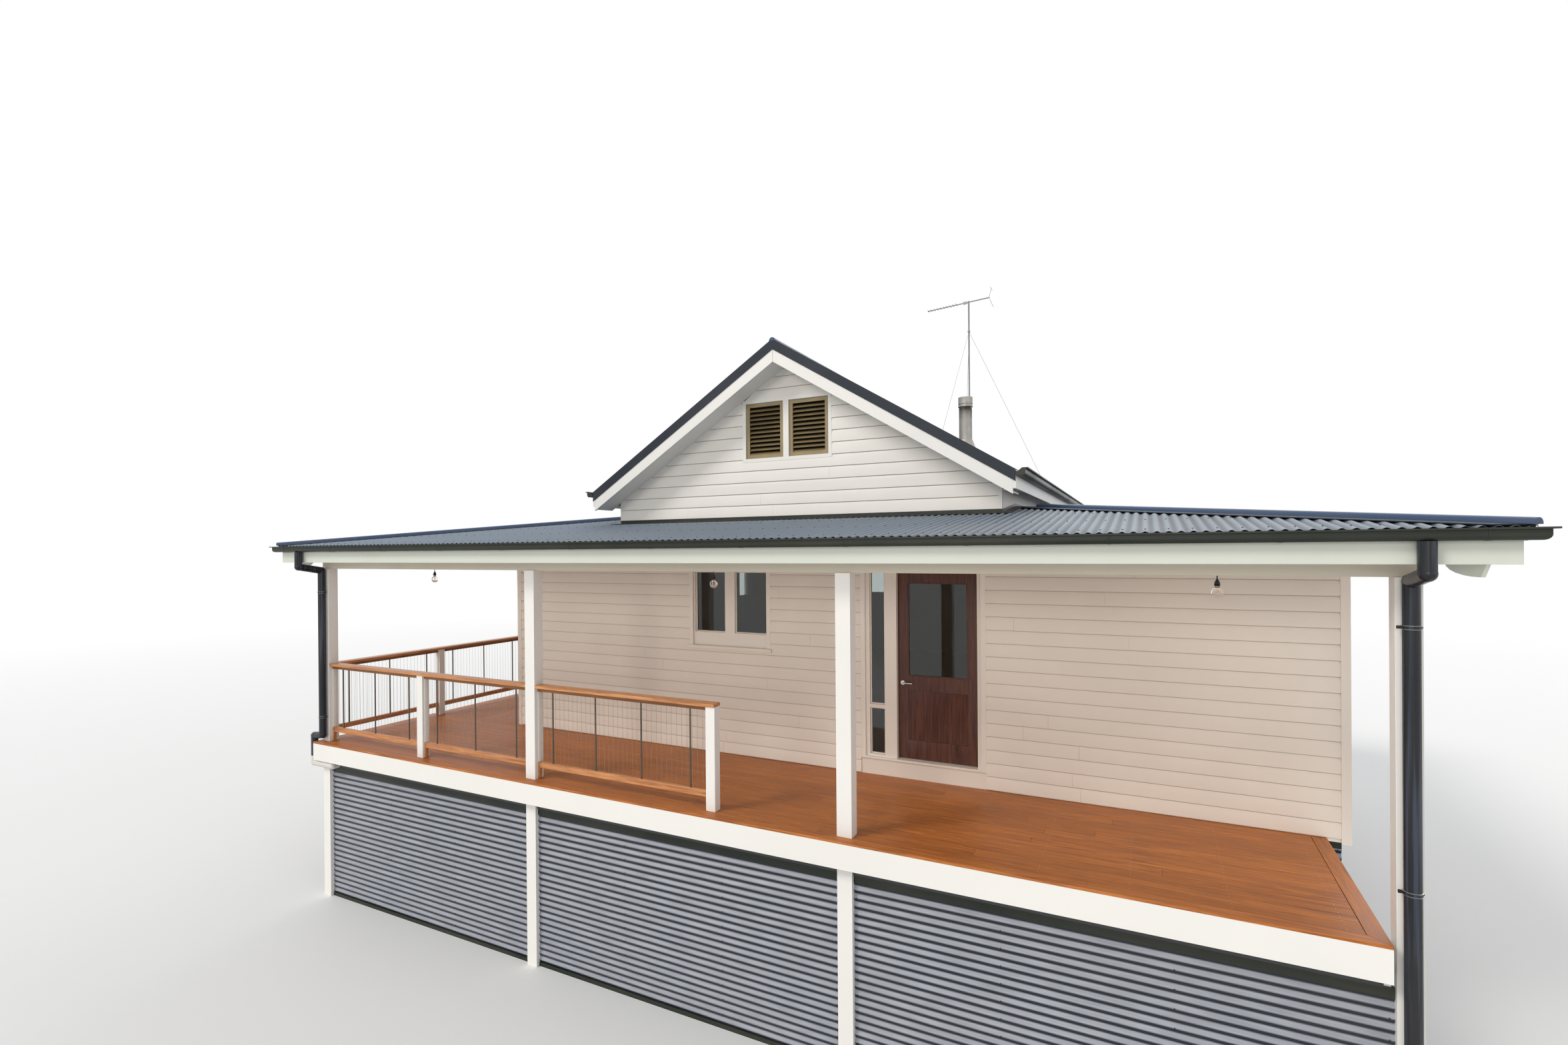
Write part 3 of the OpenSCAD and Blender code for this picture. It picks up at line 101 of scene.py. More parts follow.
class Shape:
    """Corners and faces gathered for one piece, each face with a tone from 0 to 1."""

    def __init__(self):
        self.verts = []
        self.faces = []
        self.tones = []

    def add(self, verts, faces, tone=0.5):
        base = len(self.verts)
        self.verts.extend(verts)
        self.faces.extend(tuple(base + i for i in face) for face in faces)
        self.tones.extend(tone if isinstance(tone, list) else [tone] * len(faces))

    def prism(self, outline, place, start, end, tone=0.5):
        """An outline of (u, v) run from start to end, each corner put by place(u, v, t)."""
        verts = [place(u, v, t) for t in (start, end) for u, v in outline]
        self.add(verts, ring_faces(2, len(outline)), tone)

    def block(self, a, b, tone=0.5):
        """A box between two corners."""
        outline = [(a[0], a[1]), (b[0], a[1]), (b[0], b[1]), (a[0], b[1])]
        self.prism(outline, as_given, a[2], b[2], tone)

    def tube(self, points, radius, sides):
        """A round bar through a list of points."""
        points = [Vector(p) for p in points]
        last = len(points) - 1
        side = (points[1] - points[0]).orthogonal().normalized()
        verts = []
        for i, point in enumerate(points):
            ahead = (points[min(i + 1, last)] - points[max(i - 1, 0)]).normalized()
            side = (side - ahead * side.dot(ahead)).normalized()
            verts += ring(point, side, ahead.cross(side), radius, sides)
        self.add(verts, ring_faces(len(points), sides))

    def lathe(self, centre, profile, sides=24):
        """A turned form about Z: profile is a list of (radius, height) from foot to top."""
        angles = [2 * math.pi * k / sides for k in range(sides)]
        verts = [centre + Vector((r * math.cos(a), r * math.sin(a), h)) for r, h in profile for a in angles]
        self.add(verts, ring_faces(len(profile), sides))

    def screw(self, at, out, head=SCREW_HEAD):
        """A small domed head on a surface that faces along out."""
        at, out = Vector(at), Vector(out).normalized()
        side = out.orthogonal().normalized()
        verts = []
        for size, rise in HEAD_RINGS:
            verts += ring(at + out * (rise * head[1]), side, out.cross(side), head[0] * size, HEAD_SIDES)
        self.add(verts, ring_faces(len(HEAD_RINGS), HEAD_SIDES))

    def piece(self, name, finish, slot, body=HOUSE, bevel=0.0):
        """The gathered shape as an object that rides on a body."""
        mesh = bpy.data.meshes.new(name)
        mesh.from_pydata([tuple(v) for v in self.verts], [], self.faces)
        tones = mesh.attributes.new("tone", "FLOAT", "FACE")
        tones.data.foreach_set("value", self.tones)
        work = bmesh.new()
        work.from_mesh(mesh)
        bmesh.ops.recalc_face_normals(work, faces=work.faces)
        work.to_mesh(mesh)
        work.free()
        return show(name, mesh, finish, slot, body, bevel)


def linked(name, data):
    """A new object in the scene."""
    obj = bpy.data.objects.new(name, data)
    bpy.context.scene.collection.objects.link(obj)
    return obj


def show(name, mesh, finish, slot, body, bevel):
    """A mesh as a shaded object that rides on a body."""
    mesh.polygons.foreach_set("use_smooth", [True] * len(mesh.polygons))
    mesh.set_sharp_from_angle(angle=math.radians(CREASE))
    mesh.materials.append(finish)
    obj = linked(name, mesh)
    if bevel:
        ease = obj.modifiers.new("ease", "BEVEL")
        ease.width = bevel
        ease.segments = 2
        ease.limit_method = "ANGLE"
        ease.angle_limit = math.radians(EASED_FROM)
        ease.harden_normals = True
    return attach(obj, body)


def welded(node):
    """A CAD node's mesh with its corners joined and its flat faces whole."""
    work = bmesh.new()
    work.from_mesh(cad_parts[node].data)
    bmesh.ops.remove_doubles(work, verts=work.verts, dist=WELD)
    bmesh.ops.dissolve_limit(work, angle_limit=math.radians(0.5), verts=work.verts, edges=work.edges)
    return work


def solids(node):
    """Boxes of the separate solids of a CAD node, as (lowest corner, highest corner)."""
    work = welded(node)
    left = set(work.verts)
    found = []
    while left:
        waiting = [left.pop()]
        corners = []
        while waiting:
            vert = waiting.pop()
            corners.append(vert.co.copy())
            for edge in vert.link_edges:
                other = edge.other_vert(vert)
                if other in left:
                    left.remove(other)
                    waiting.append(other)
        found.append(tuple(Vector([pick(c[i] for c in corners) for i in range(3)]) for pick in (min, max)))
    work.free()
    return sorted(found, key=lambda box: tuple(round(c, 4) for c in box[0]))


def eased(node, finish, slot, width, body=HOUSE):
    """A CAD node shown with its edges eased."""
    work = welded(node)
    mesh = bpy.data.meshes.new(node + "_eased")
    work.to_mesh(mesh)
    work.free()
    mesh.materials.clear()
    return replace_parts(show(node + "_eased", mesh, finish, slot, body, width), node)


def cut_out(rects, hole):
    """Rectangles (u0, v0, u1, v1) with one such hole taken out."""
    kept = []
    for u0, v0, u1, v1 in rects:
        a, b = max(u0, hole[0]), max(v0, hole[1])
        c, d = min(u1, hole[2]), min(v1, hole[3])
        if a >= c or b >= d:
            kept.append((u0, v0, u1, v1))
        else:
            kept += [(u0, v0, a, v1), (c, v0, u1, v1), (a, v0, c, b), (a, d, c, v1)]
    return [r for r in kept if r[2] - r[0] > SLIVER and r[3] - r[1] > SLIVER]


def end_joints(start, end, shortest, longest):
    """Places of the end joints along a run of boards of mixed lengths."""
    places = []
    at = start + rng.uniform(0.4, 1.0) * longest
    while at < end - shortest / 2:
        places.append(at)
        at += rng.uniform(shortest, longest)
    return places


# Finishes

DUST = (0.42, 0.36, 0.29)
# Colour of the painted shade and grime in the joints between weatherboards
JOINT_SHADE_AND_GRIME = (0.21, 0.16, 0.115)
SOOT = (0.035, 0.028, 0.024)


class Nodes:
    """Short calls for making and joining the nodes of a tree."""

    def __init__(self, tree):
        self.tree = tree

    def add(self, kind, sockets=None, **settings):
        node = self.tree.nodes.new(kind)
        for key, value in settings.items():
            setattr(node, key, value)
        for key, value in (sockets or {}).items():
            self.join(node.inputs[key], value)
        return node

    def join(self, socket, value):
        if isinstance(value, bpy.types.NodeSocket):
            self.tree.links.new(value, socket)
        else:
            socket.default_value = (*value, 1.0) if socket.type == "RGBA" else value

    def math(self, operation, a, b):
        return self.add("ShaderNodeMath", {0: a, 1: b}, operation=operation).outputs[0]


class Finish(Nodes):
    """A material; place and facing are a point's position and normal in its own object."""

    def __init__(self, name):
        self.material = bpy.data.materials.new(name)
        self.material.use_nodes = True
        super().__init__(self.material.node_tree)
        self.shader = self.tree.nodes["Principled BSDF"]
        coordinates = self.add("ShaderNodeTexCoord").outputs
        self.place, self.facing = coordinates["Object"], coordinates["Normal"]

    def stretched(self, scale, shift=(0.0, 0.0, 0.0)):
        sockets = {"Vector": self.place, "Scale": scale, "Location": shift}
        return self.add("ShaderNodeMapping", sockets).outputs["Vector"]

    def noise(self, vector, scale, detail=4.0, warp=0.0):
        sockets = {"Vector": vector, "Scale": scale, "Detail": detail, "Distortion": warp}
        return self.add("ShaderNodeTexNoise", sockets).outputs["Fac"]

    def ramp(self, value, low, high, to_low=0.0, to_high=1.0):
        """A value that runs from to_low to to_high while the first one runs from low to high."""
        sockets = {"Value": value, "From Min": low, "From Max": high, "To Min": to_low, "To Max": to_high}
        return self.add("ShaderNodeMapRange", sockets).outputs["Result"]

    def mix(self, share, a, b):
        """A colour that runs from a to b while the share runs from 0 to 1."""
        return self.add("ShaderNodeMix", {0: share, 6: a, 7: b}, data_type="RGBA").outputs[2]

    def part(self, vector, axis):
        """The X, Y or Z of a vector."""
        return self.add("ShaderNodeSeparateXYZ", {"Vector": vector}).outputs[axis]

    def tone(self):
        return self.add("ShaderNodeAttribute", attribute_name="tone").outputs["Fac"]

    def bump(self, height, strength, distance):
        sockets = {"Height": height, "Strength": strength, "Distance": distance}
        self.join(self.shader.inputs["Normal"], self.add("ShaderNodeBump", sockets).outputs["Normal"])

    def done(self, colour, roughness, **fixed):
        """The finished material; fixed sets other inputs of the shader, with _ for each space."""
        self.join(self.shader.inputs["Base Color"], colour)
        self.join(self.shader.inputs["Roughness"], roughness)
        for key, value in fixed.items():
            self.shader.inputs[key.replace("_", " ")].default_value = value
        return self.material


def darker(colour, factor):
    return tuple(c * factor for c in colour)


def paint(name, colour, roughness=0.42, grime=0.12, strokes=0.15, joint_shade_and_grime=0.0):
    """Paint with faint brush strokes, dust and uneven gloss, and painted shade with grime in the joints
    where the tone is high.
    """
    f = Finish(name)
    cloud = f.noise(f.place, 0.9, 6.0, 0.4)
    fine = f.noise(f.stretched((3.0, 3.0, 40.0)), 9.0, 5.0)
    soft = f.mix(f.ramp(cloud, 0.35, 0.75, 0.0, grime), colour, darker(colour, 0.62))
    tinted = f.mix(f.ramp(fine, 0.45, 0.8, 0.0, grime * 0.5), soft, darker(colour, 0.8))
    # Painted shade and grime in the joints between boards, where the tone is high
    if joint_shade_and_grime:
        tinted = f.mix(f.ramp(f.tone(), 0.5, 1.0, 0.0, joint_shade_and_grime), tinted, JOINT_SHADE_AND_GRIME)
    f.bump(fine, strokes, 0.001)
    return f.done(tinted, f.ramp(cloud, 0.3, 0.7, roughness - 0.06, roughness + 0.1))


def coated_steel(
    name, colour, roughness, dust, level=0.4, run=(1.0, 1.0, 7.0), streaks=None, highlight_and_fade=None, valley_shade=None
):
    """Factory-painted steel with dust in patches and streaks.

    run is how fine the streaks are along each axis. streaks is the colour of painted reflection streaks,
    highlight_and_fade that of a painted highlight with fading on faces that look up, and valley_shade that
    of painted shade where the tone is high.
    """
    f = Finish(name)
    patch = f.noise(f.place, 0.7, 8.0, 0.3)
    streak = f.noise(f.stretched(run), 3.5, 6.0)
    speck = f.noise(f.place, 140.0, 2.0)
    share = f.math("MULTIPLY", f.ramp(patch, 0.42, 0.8, 0.0, dust), f.ramp(streak, 0.3, 0.7, 0.5, 1.0))
    tint = f.mix(f.ramp(speck, 0.3, 0.7), darker(colour, 0.88), darker(colour, 1.12))
    # Painted vertical reflection streaks
    if streaks:
        tint = f.mix(f.ramp(streak, 0.48, 0.62, 0.0, 0.75), tint, streaks)
    # Painted shade in the corrugations' hollows, where the tone is high
    if valley_shade:
        tint = f.mix(f.ramp(f.tone(), 0.30, 0.95, 0.0, 0.75), tint, valley_shade)
    # Painted highlight, with some fading, on faces that look up
    if highlight_and_fade:
        upward = f.ramp(f.part(f.facing, "Z"), -0.30, 0.28)
        patchy = f.math("MULTIPLY", upward, f.ramp(streak, 0.25, 0.75, 0.70, 1.0))
        tint = f.mix(patchy, tint, highlight_and_fade)
    f.bump(speck, 0.04, 0.0006)
    rough = f.ramp(patch, 0.3, 0.8, roughness, roughness + 0.22)
    return f.done(f.mix(share, tint, DUST), rough, Specular_IOR_Level=level)


def louvre_steel(name, colour, roughness, face, depth):
    """Painted louvres with painted shade that deepens over their depth, in from Y = face and -face."""
    f = Finish(name)
    deep = f.math("ABSOLUTE", f.part(f.place, "Y"), 0.0)
    cloud = f.noise(f.place, 4.0, 6.0)
    tint = f.mix(f.ramp(cloud, 0.35, 0.75), colour, darker(colour, 0.74))
    # Painted shade, darkest deep in the louvres
    shaded = f.mix(f.ramp(deep, face - 0.62 * depth, face - 0.06 * depth), darker(colour, 0.05), tint)
    return f.done(shaded, f.ramp(cloud, 0.3, 0.7, roughness, roughness + 0.15))


def timber(name, deep, bright, along, roughness=0.42, turn=None, shadow_band=None):
    """Oiled timber with its grain along X, Y or Z, each board shifted and darkened by its tone.

    turn is the Y from which the grain runs along Y instead, and shadow_band=(low, high) is a height range
    that is darkened with painted shadow.
    """
    f = Finish(name)
    tone = f.tone()
    shift = f.add(
        "ShaderNodeCombineXYZ", {"X": f.math("MULTIPLY", tone, 37.0), "Z": f.math("MULTIPLY", tone, 11.0)}
    ).outputs[0]
    fine = {"X": (1.3, 26.0, 26.0), "Y": (26.0, 1.3, 26.0), "Z": (26.0, 26.0, 1.3)}
    vector = f.stretched(fine[along], shift)
    if turn:
        beyond = f.math("GREATER_THAN", f.part(f.place, "Y"), turn)
        sockets = {0: beyond, 4: vector, 5: f.stretched(fine["Y"], shift)}
        vector = f.add("ShaderNodeMix", sockets, data_type="VECTOR").outputs[1]
    grain = f.noise(vector, 1.6, 8.0, 0.9)
    pores = f.noise(vector, 7.0, 3.0, 0.2)
    body = f.mix(f.ramp(grain, 0.32, 0.68), deep, bright)
    figured = f.mix(f.ramp(pores, 0.55, 0.75, 0.0, 0.45), body, darker(deep, 0.55))
    varied = f.mix(f.ramp(tone, 0.0, 1.0, 0.0, 0.35), figured, darker(deep, 0.75))
    # Painted shadow over a height range, on the sub-rail under the handrail's cap
    if shadow_band:
        height = f.part(f.place, "Z")
        over, under = f.math("GREATER_THAN", height, shadow_band[0]), f.math("LESS_THAN", height, shadow_band[1])
        shadow_share = f.math("MULTIPLY", f.math("MULTIPLY", over, under), 0.62)
        varied = f.mix(shadow_share, varied, darker(deep, 0.22))
    f.bump(grain, 0.25, 0.0012)
    rough = f.ramp(grain, 0.3, 0.7, roughness - 0.08, roughness + 0.12)
    return f.done(varied, rough, Specular_IOR_Level=0.3)


def galvanised(name, colour, roughness):
    """Zinc-coated steel with faint spangle."""
    f = Finish(name)
    cells = f.add("ShaderNodeTexVoronoi", {"Vector": f.place, "Scale": 70.0})
    cloud = f.noise(f.place, 3.0, 5.0)
    grey = f.mix(f.ramp(cells.outputs["Distance"], 0.1, 0.8), darker(colour, 0.85), colour)
    patchy = f.mix(f.ramp(cloud, 0.4, 0.75, 0.0, 0.4), grey, darker(colour, 0.6))
    return f.done(patchy, f.ramp(cloud, 0.3, 0.7, roughness - 0.08, roughness + 0.12), Metallic=0.85)


def sooty_steel(name, colour, roughness, top, reach):
    """Zinc-coated steel that soot has darkened from a height down over a reach."""
    f = Finish(name)
    height = f.part(f.place, "Z")
    cloud = f.noise(f.place, 9.0, 6.0)
    grey = f.mix(f.ramp(cloud, 0.3, 0.75, 0.0, 0.5), colour, darker(colour, 0.66))
    below = f.ramp(height, top - reach, top - 0.03)
    above = f.ramp(height, top, top + 0.01, 1.0, 0.0)
    soot = f.math("MULTIPLY", f.math("MULTIPLY", below, above), f.ramp(cloud, 0.2, 0.6, 0.6, 1.0))
    rough = f.ramp(cloud, 0.3, 0.7, roughness, roughness + 0.15)
    return f.done(f.mix(soot, grey, SOOT), rough, Metallic=0.5)


def clear_glass(name, tint, smear):
    """Clear glass with faint smears."""
    f = Finish(name)
    haze = f.noise(f.place, 2.5, 5.0, 0.5)
    colour = f.mix(f.ramp(haze, 0.4, 0.8, 0.0, 0.3), tint, darker(tint, 0.93))
    return f.done(colour, f.ramp(haze, 0.4, 0.8, 0.0, smear), Transmission_Weight=1.0, IOR=1.45)


white = paint("white_paint", (0.80, 0.78, 0.74))
# Walls: white paint made darker and warmer, painted shade with warm bounce light from the deck
wall_shaded = paint("wall_shaded_paint", (0.785, 0.700, 0.610), roughness=0.5, grime=0.16, joint_shade_and_grime=0.40)
gable_white = paint("gable_paint", (0.80, 0.765, 0.715), roughness=0.5, grime=0.16, joint_shade_and_grime=0.62)
# Trims: the walls' colour, with the same painted shade and warm bounce light
trim_shaded_paint = paint("trim_shaded_paint", (0.785, 0.710, 0.625))
# Fascias and beams: white paint darkened with painted shade, greenish on the fascias and warm on the beams
fascia_shaded_paint = paint("fascia_shaded_paint", (0.615, 0.635, 0.560), grime=0.14)
beam_shaded_paint = paint("beam_shaded_paint", (0.545, 0.495, 0.400), grime=0.14)
lining_white = paint("lining_paint", (0.78, 0.765, 0.73), roughness=0.6, grime=0.08, strokes=0.05)
footing = paint("footing_paint", (0.62, 0.60, 0.56), roughness=0.6, grime=0.4)
charcoal = paint("charcoal_paint", (0.035, 0.036, 0.040), roughness=0.5, grime=0.3)
# The roof sheets get painted shade in the corrugations' hollows
roofing = coated_steel(
    "roof_steel", (0.200, 0.245, 0.300), 0.42, dust=0.22, level=0.12, valley_shade=(0.022, 0.028, 0.040)
)
roll_steel = coated_steel("roll_steel", (0.045, 0.078, 0.150), 0.30, dust=0.08, level=0.25)
# Cappings: the roofing's steel darkened with painted shade
capping_shaded_steel = coated_steel("capping_shaded_steel", (0.022, 0.028, 0.038), 0.36, dust=0.06, level=0.18)
gutter_steel = coated_steel("gutter_steel", (0.017, 0.022, 0.016), 0.28, dust=0.09, level=0.25)
# The cladding's upper flanks carry a painted highlight with some fading
cladding_steel = coated_steel(
    "cladding_steel", (0.014, 0.018, 0.026), 0.26, dust=0.05, level=0.3, highlight_and_fade=(0.340, 0.355, 0.400)
)
# The downpipes get painted vertical reflection streaks
pipe_steel = coated_steel(
    "pipe_steel", (0.010, 0.012, 0.016), 0.20, dust=0.05, level=0.3,
    run=(9.0, 9.0, 0.2), streaks=(0.050, 0.058, 0.085),
)
MERBAU = ((0.270, 0.075, 0.014), (0.590, 0.205, 0.046))
deck_x = timber("deck_boards_x", *MERBAU, "X")
deck_y = timber("deck_boards_y", *MERBAU, "Y")
rough_sawn = timber("rough_sawn", (0.16, 0.11, 0.07), (0.30, 0.21, 0.13), "Y", roughness=0.75)
floor_timber = timber("floor_timber", (0.26, 0.14, 0.07), (0.42, 0.25, 0.13), "X", roughness=0.35)
door_timber = timber("door_timber", (0.055, 0.018, 0.012), (0.13, 0.045, 0.026), "Z", roughness=0.35)
zinc = galvanised("zinc", (0.25, 0.26, 0.28), roughness=0.45)
stainless = galvanised("stainless", (0.55, 0.54, 0.52), roughness=0.28)
upright_steel = galvanised("upright_steel", (0.150, 0.120, 0.095), roughness=0.30)
wire_steel = galvanised("wire_steel", (0.36, 0.31, 0.26), roughness=0.30)
lamp_black = paint("lamp_black", (0.012, 0.012, 0.012), roughness=0.35, grime=0.2)
filament_gold = coated_steel("filament_gold", (0.75, 0.42, 0.12), 0.3, dust=0.1)
pvc = paint("pvc", (0.66, 0.64, 0.58), roughness=0.45, grime=0.3, strokes=0.02)
window_glass = clear_glass("window_glass", (0.62, 0.66, 0.65), smear=0.06)
bulb_glass = clear_glass("bulb_glass", (0.97, 0.97, 0.96), smear=0.03)


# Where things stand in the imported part


def middle(box):
    return (box[0] + box[1]) / 2


def thin_axis(low, high):
    """The axis that an upright box is thin along: 0 for X and 1 for Y."""
    return 0 if high.x - low.x < high.y - low.y else 1


roof_low, roof_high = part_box("lower_roof")
gutter_low, gutter_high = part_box("eave_gutters")
half_w, half_d = gutter_high.x, gutter_high.y
sheet_edge = roof_low.x - gutter_low.x
core_low, core_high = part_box("upper_walls")
core_x = (core_low.x + core_high.x) / 2
high_low, high_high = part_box("upper_roof")
high_reach = (high_high.x - high_low.x) / 2
wall_l, wall_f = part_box("front_wall_left")[0].xy
wall_r, wall_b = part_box("right_wall")[1].xy
wall_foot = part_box("right_wall")[0].z
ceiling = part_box("ceiling_lining")[0].z
deck_low, deck_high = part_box("deck")
posts = solids("verandah_posts")
newels = solids("newel_posts")
windows = solids("window_frames")
front_post = min(posts, key=lambda box: (round(box[0].y, 3), box[0].x))
side_row, front_row = middle(front_post).xy


def around(side, u, v):
    """Plan place u along and v in from the gutter line of a side: 0 front, 1 right, 2 rear, 3 left."""
    return ((u, v - half_d), (half_w - v, u), (-u, half_d - v), (v - half_w, -u))[side]


def low_z(v):
    """Underside of the low roof's sheets, v in from the gutter line."""
    return roof_low.z + (v - sheet_edge) * LOW_RISE


def high_z(d):
    """Underside of the gabled roof's sheets, d out from the ridge line."""
    return high_low.z + (high_reach - d) * HIGH_RISE


# Where the gabled centre stands along each side of the roof, and how far in
CORE_SPANS = (
    (core_low.x, core_high.x, core_low.y + half_d),
    (core_low.y, core_high.y, half_w - core_high.x),
    (-core_high.x, -core_low.x, half_d - core_high.y),
    (-core_high.y, -core_low.y, core_low.x + half_w),
)


# Corrugated steel

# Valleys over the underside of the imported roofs, and rows of screws up a roof
SHEET_SEAT = 0.007
SCREW_ROWS = 0.9
FIRST_ROW = 0.16


def wave(u):
    """Height of a corrugation over its valleys."""
    return WAVE_DEPTH * (1 + math.cos(2 * math.pi * u / WAVE_PITCH)) / 2


def corrugated(shape, start, end, near, far, place):
    """A corrugated sheet with its ribs from near(u) to far(u), put by place(u, v, h).

    The tone of its faces is how near they are to a valley.
    """
    count = max(2, round((end - start) / WAVE_PITCH * WAVE_STEPS))
    verts, depths = [], []
    for i in range(count + 1):
        u = start + (end - start) * i / count
        for v, under in ((near(u), 0), (near(u), SHEET_T), (far(u), SHEET_T), (far(u), 0)):
            verts.append(place(u, v, wave(u) - under))
    for i in range(count):
        depths += [1 - wave(start + (end - start) * (i + 0.5) / count) / WAVE_DEPTH] * 4
    shape.add(verts, ring_faces(count + 1, 4), depths + [0.5, 0.5])


def every_other_rib(start, end):
    """Places of every second rib from start to end."""
    step = 2 * WAVE_PITCH
    return [k * step for k in range(int(start / step), int(end / step) + 1)]


# The four planes of the low roof, each left of, along and right of the gabled centre
roof_sheets, gable_sheets, roof_screws = Shape(), Shape(), Shape()
hip = sheet_edge + SLIVER
for side, (start, end, core_in) in enumerate(CORE_SPANS):
    half = (half_w, half_d)[side % 2]

    def place(u, v, h):
        return (*around(side, u, v), low_z(v) + SHEET_SEAT + h)

    def to_hip(u):
        return half - abs(u) - SLIVER / 2

    def to_core(u):
        return min(to_hip(u), core_in - SLIVER)

    for a, b, far in ((hip - half, start, to_hip), (start, end, to_core), (end, half - hip, to_hip)):
        corrugated(roof_sheets, a, b, lambda u: sheet_edge, far, place)
    for u in every_other_rib(-half, half):
        reach = to_core(u) if start < u < end else to_hip(u)
        v = sheet_edge + FIRST_ROW
        while v < reach - FIRST_ROW:
            roof_screws.screw(place(u, v, WAVE_DEPTH), (0, 0, 1))
            v += SCREW_ROWS
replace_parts(roof_sheets.piece("low_roof_sheets", roofing, "roofing"), "lower_roof")

# The two planes of the gabled roof
for s in (-1, 1):

    def place(u, d, h):
        return (core_x + s * d, u, high_z(d) + SHEET_SEAT + h)

    corrugated(gable_sheets, high_low.y, high_high.y, lambda u: SLIVER, lambda u: high_reach, place)
    for u in every_other_rib(high_low.y, high_high.y):
        d = high_reach - FIRST_ROW
        while d > FIRST_ROW:
            roof_screws.screw(place(u, d, WAVE_DEPTH), (s * HIGH_RISE, 0, 1))
            d -= SCREW_ROWS
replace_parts(gable_sheets.piece("gabled_roof_sheets", roofing, "roofing"), "upper_roof")
roof_screws.piece("roof_screws", gutter_steel, "roofing")


# Half-round rolls along the hips and the ridge

ROLL_R = 0.042
ROLL_STEPS = 10
# Hip rolls over the ribs, and their upper ends out from the gabled centre
ROLL_SEAT = 0.004
ROLL_END = 0.30
# Ridge roll over the valleys, and past the sheets' ends
RIDGE_SEAT = 0.008
RIDGE_OVER = 0.010


def half_round(shape, start, end):
    """A half-round roll from one point on its flat side's centre line to another."""
    along = (end - start).normalized()
    across = along.cross(Vector((0, 0, 1))).normalized()
    up = across.cross(along)
    angles = [math.pi * i / ROLL_STEPS for i in range(ROLL_STEPS + 1)]
    outline = [(ROLL_R * math.cos(a), ROLL_R * math.sin(a)) for a in angles]
    shape.prism(outline, lambda u, v, t: start + across * u + up * v + along * t, 0, (end - start).length)


rolls = Shape()
seat = SHEET_SEAT + WAVE_DEPTH + ROLL_SEAT
for sx, stop in ((-1, -core_low.x), (1, core_high.x)):
    for sy in (-1, 1):
        ends = [(h, low_z(half_w - h) + seat) for h in (roof_high.x, stop + ROLL_END)]
        half_round(rolls, *(Vector((sx * h, sy * h, z)) for h, z in ends))
ridge_end = high_high.y + RIDGE_OVER
ridge_foot = high_z(0) + SHEET_SEAT + RIDGE_SEAT
half_round(rolls, *(Vector((core_x, y, ridge_foot)) for y in (-ridge_end, ridge_end)))
rolls.piece("capping_rolls", roll_steel, "roofing")


# Corrugated cladding of the base, with its screws, foot angle and top flashing

CLAD_SCREWS = 1.25
CLAD_SCREW_IN = 0.03
ANGLE_H = 0.045
ANGLE_T = 0.003
TOP_TRIM_H = 0.075
base_sheets, base_screws, base_angles = Shape(), Shape(), Shape()
for low, high in solids("base_cladding"):
    across = thin_axis(low, high)
    along = 1 - across
    out = -1 if low[across] + high[across] < 0 else 1
    face = low[across] if out < 0 else high[across]

    def place(z, t, h):
        point = [t, t, z]
        point[across] = face + out * (h - WAVE_DEPTH)
        return tuple(point)

    corrugated(base_sheets, low.z, high.z, lambda z: low[along], lambda z: high[along], place)
    columns = max(1, round((high[along] - low[along]) / CLAD_SCREWS))
    outward = [0, 0, 0]
    outward[across] = out
    for i in range(columns + 1):
        t = low[along] + CLAD_SCREW_IN + (high[along] - low[along] - 2 * CLAD_SCREW_IN) * i / columns
        for z in every_other_rib(0, high.z)[1:]:
            if z < high.z - WAVE_PITCH / 2:
                base_screws.screw(place(z, t, WAVE_DEPTH), outward)
    a, b = Vector(low), Vector(high)
    a[across], b[across] = sorted((face + out * ANGLE_T, face - out * WAVE_DEPTH))
    for foot, head in ((low.z, low.z + ANGLE_H), (high.z - TOP_TRIM_H, high.z)):
        a.z, b.z = foot, head
        base_angles.block(a, b)
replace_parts(base_sheets.piece("base_sheets", cladding_steel, "cladding"), "base_cladding")
base_screws.piece("base_screws", gutter_steel, "cladding")
base_angles.piece("base_angles", gutter_steel, "cladding", bevel=0.002)


# Weatherboards

BOARD_SHOW = 0.150
# Section of a board: height over its foot, and out from the wall
BOARD_PROFILE = (
    (0.0, 0.0165), (0.0015, 0.018), (0.104, 0.018), (0.144, 0.008), (0.144, 0.002), (0.150, 0.002),
)
# Faces within this of the wall are in a joint, which is darkened with painted shade and grime
JOINT_OUT = 0.0079
BOARD_LENGTHS = (3.0, 5.4)
END_GAP = 0.0015
CORNER_BOARD = 0.055
CORNER_T = 0.021


def board_section(start, end):
    """Section of a board from start to end over its foot, and the painted shade and grime of each face."""
    points = []
    for (h0, out0), (h1, out1) in zip(BOARD_PROFILE, BOARD_PROFILE[1:]):
        low, high = max(h0, start), min(h1, end)
        if low > high:
            continue
        for h in (low, high):
            out = out0 + (out1 - out0) * (h - h0) / (h1 - h0) if h1 > h0 else out0
            if not points or max(abs(h - points[-1][0]), abs(out - points[-1][1])) > SAME:
                points.append((h, out))
    # Faces deep in a joint are marked for painted shade and grime
    shade_and_grime = [1.0 if min(p[1], q[1]) < JOINT_OUT else 0.0 for p, q in zip(points, points[1:])]
    return [(start, 0.0), *points, (end, 0.0)], [0.0, *shade_and_grime, 0.0, 0.0]


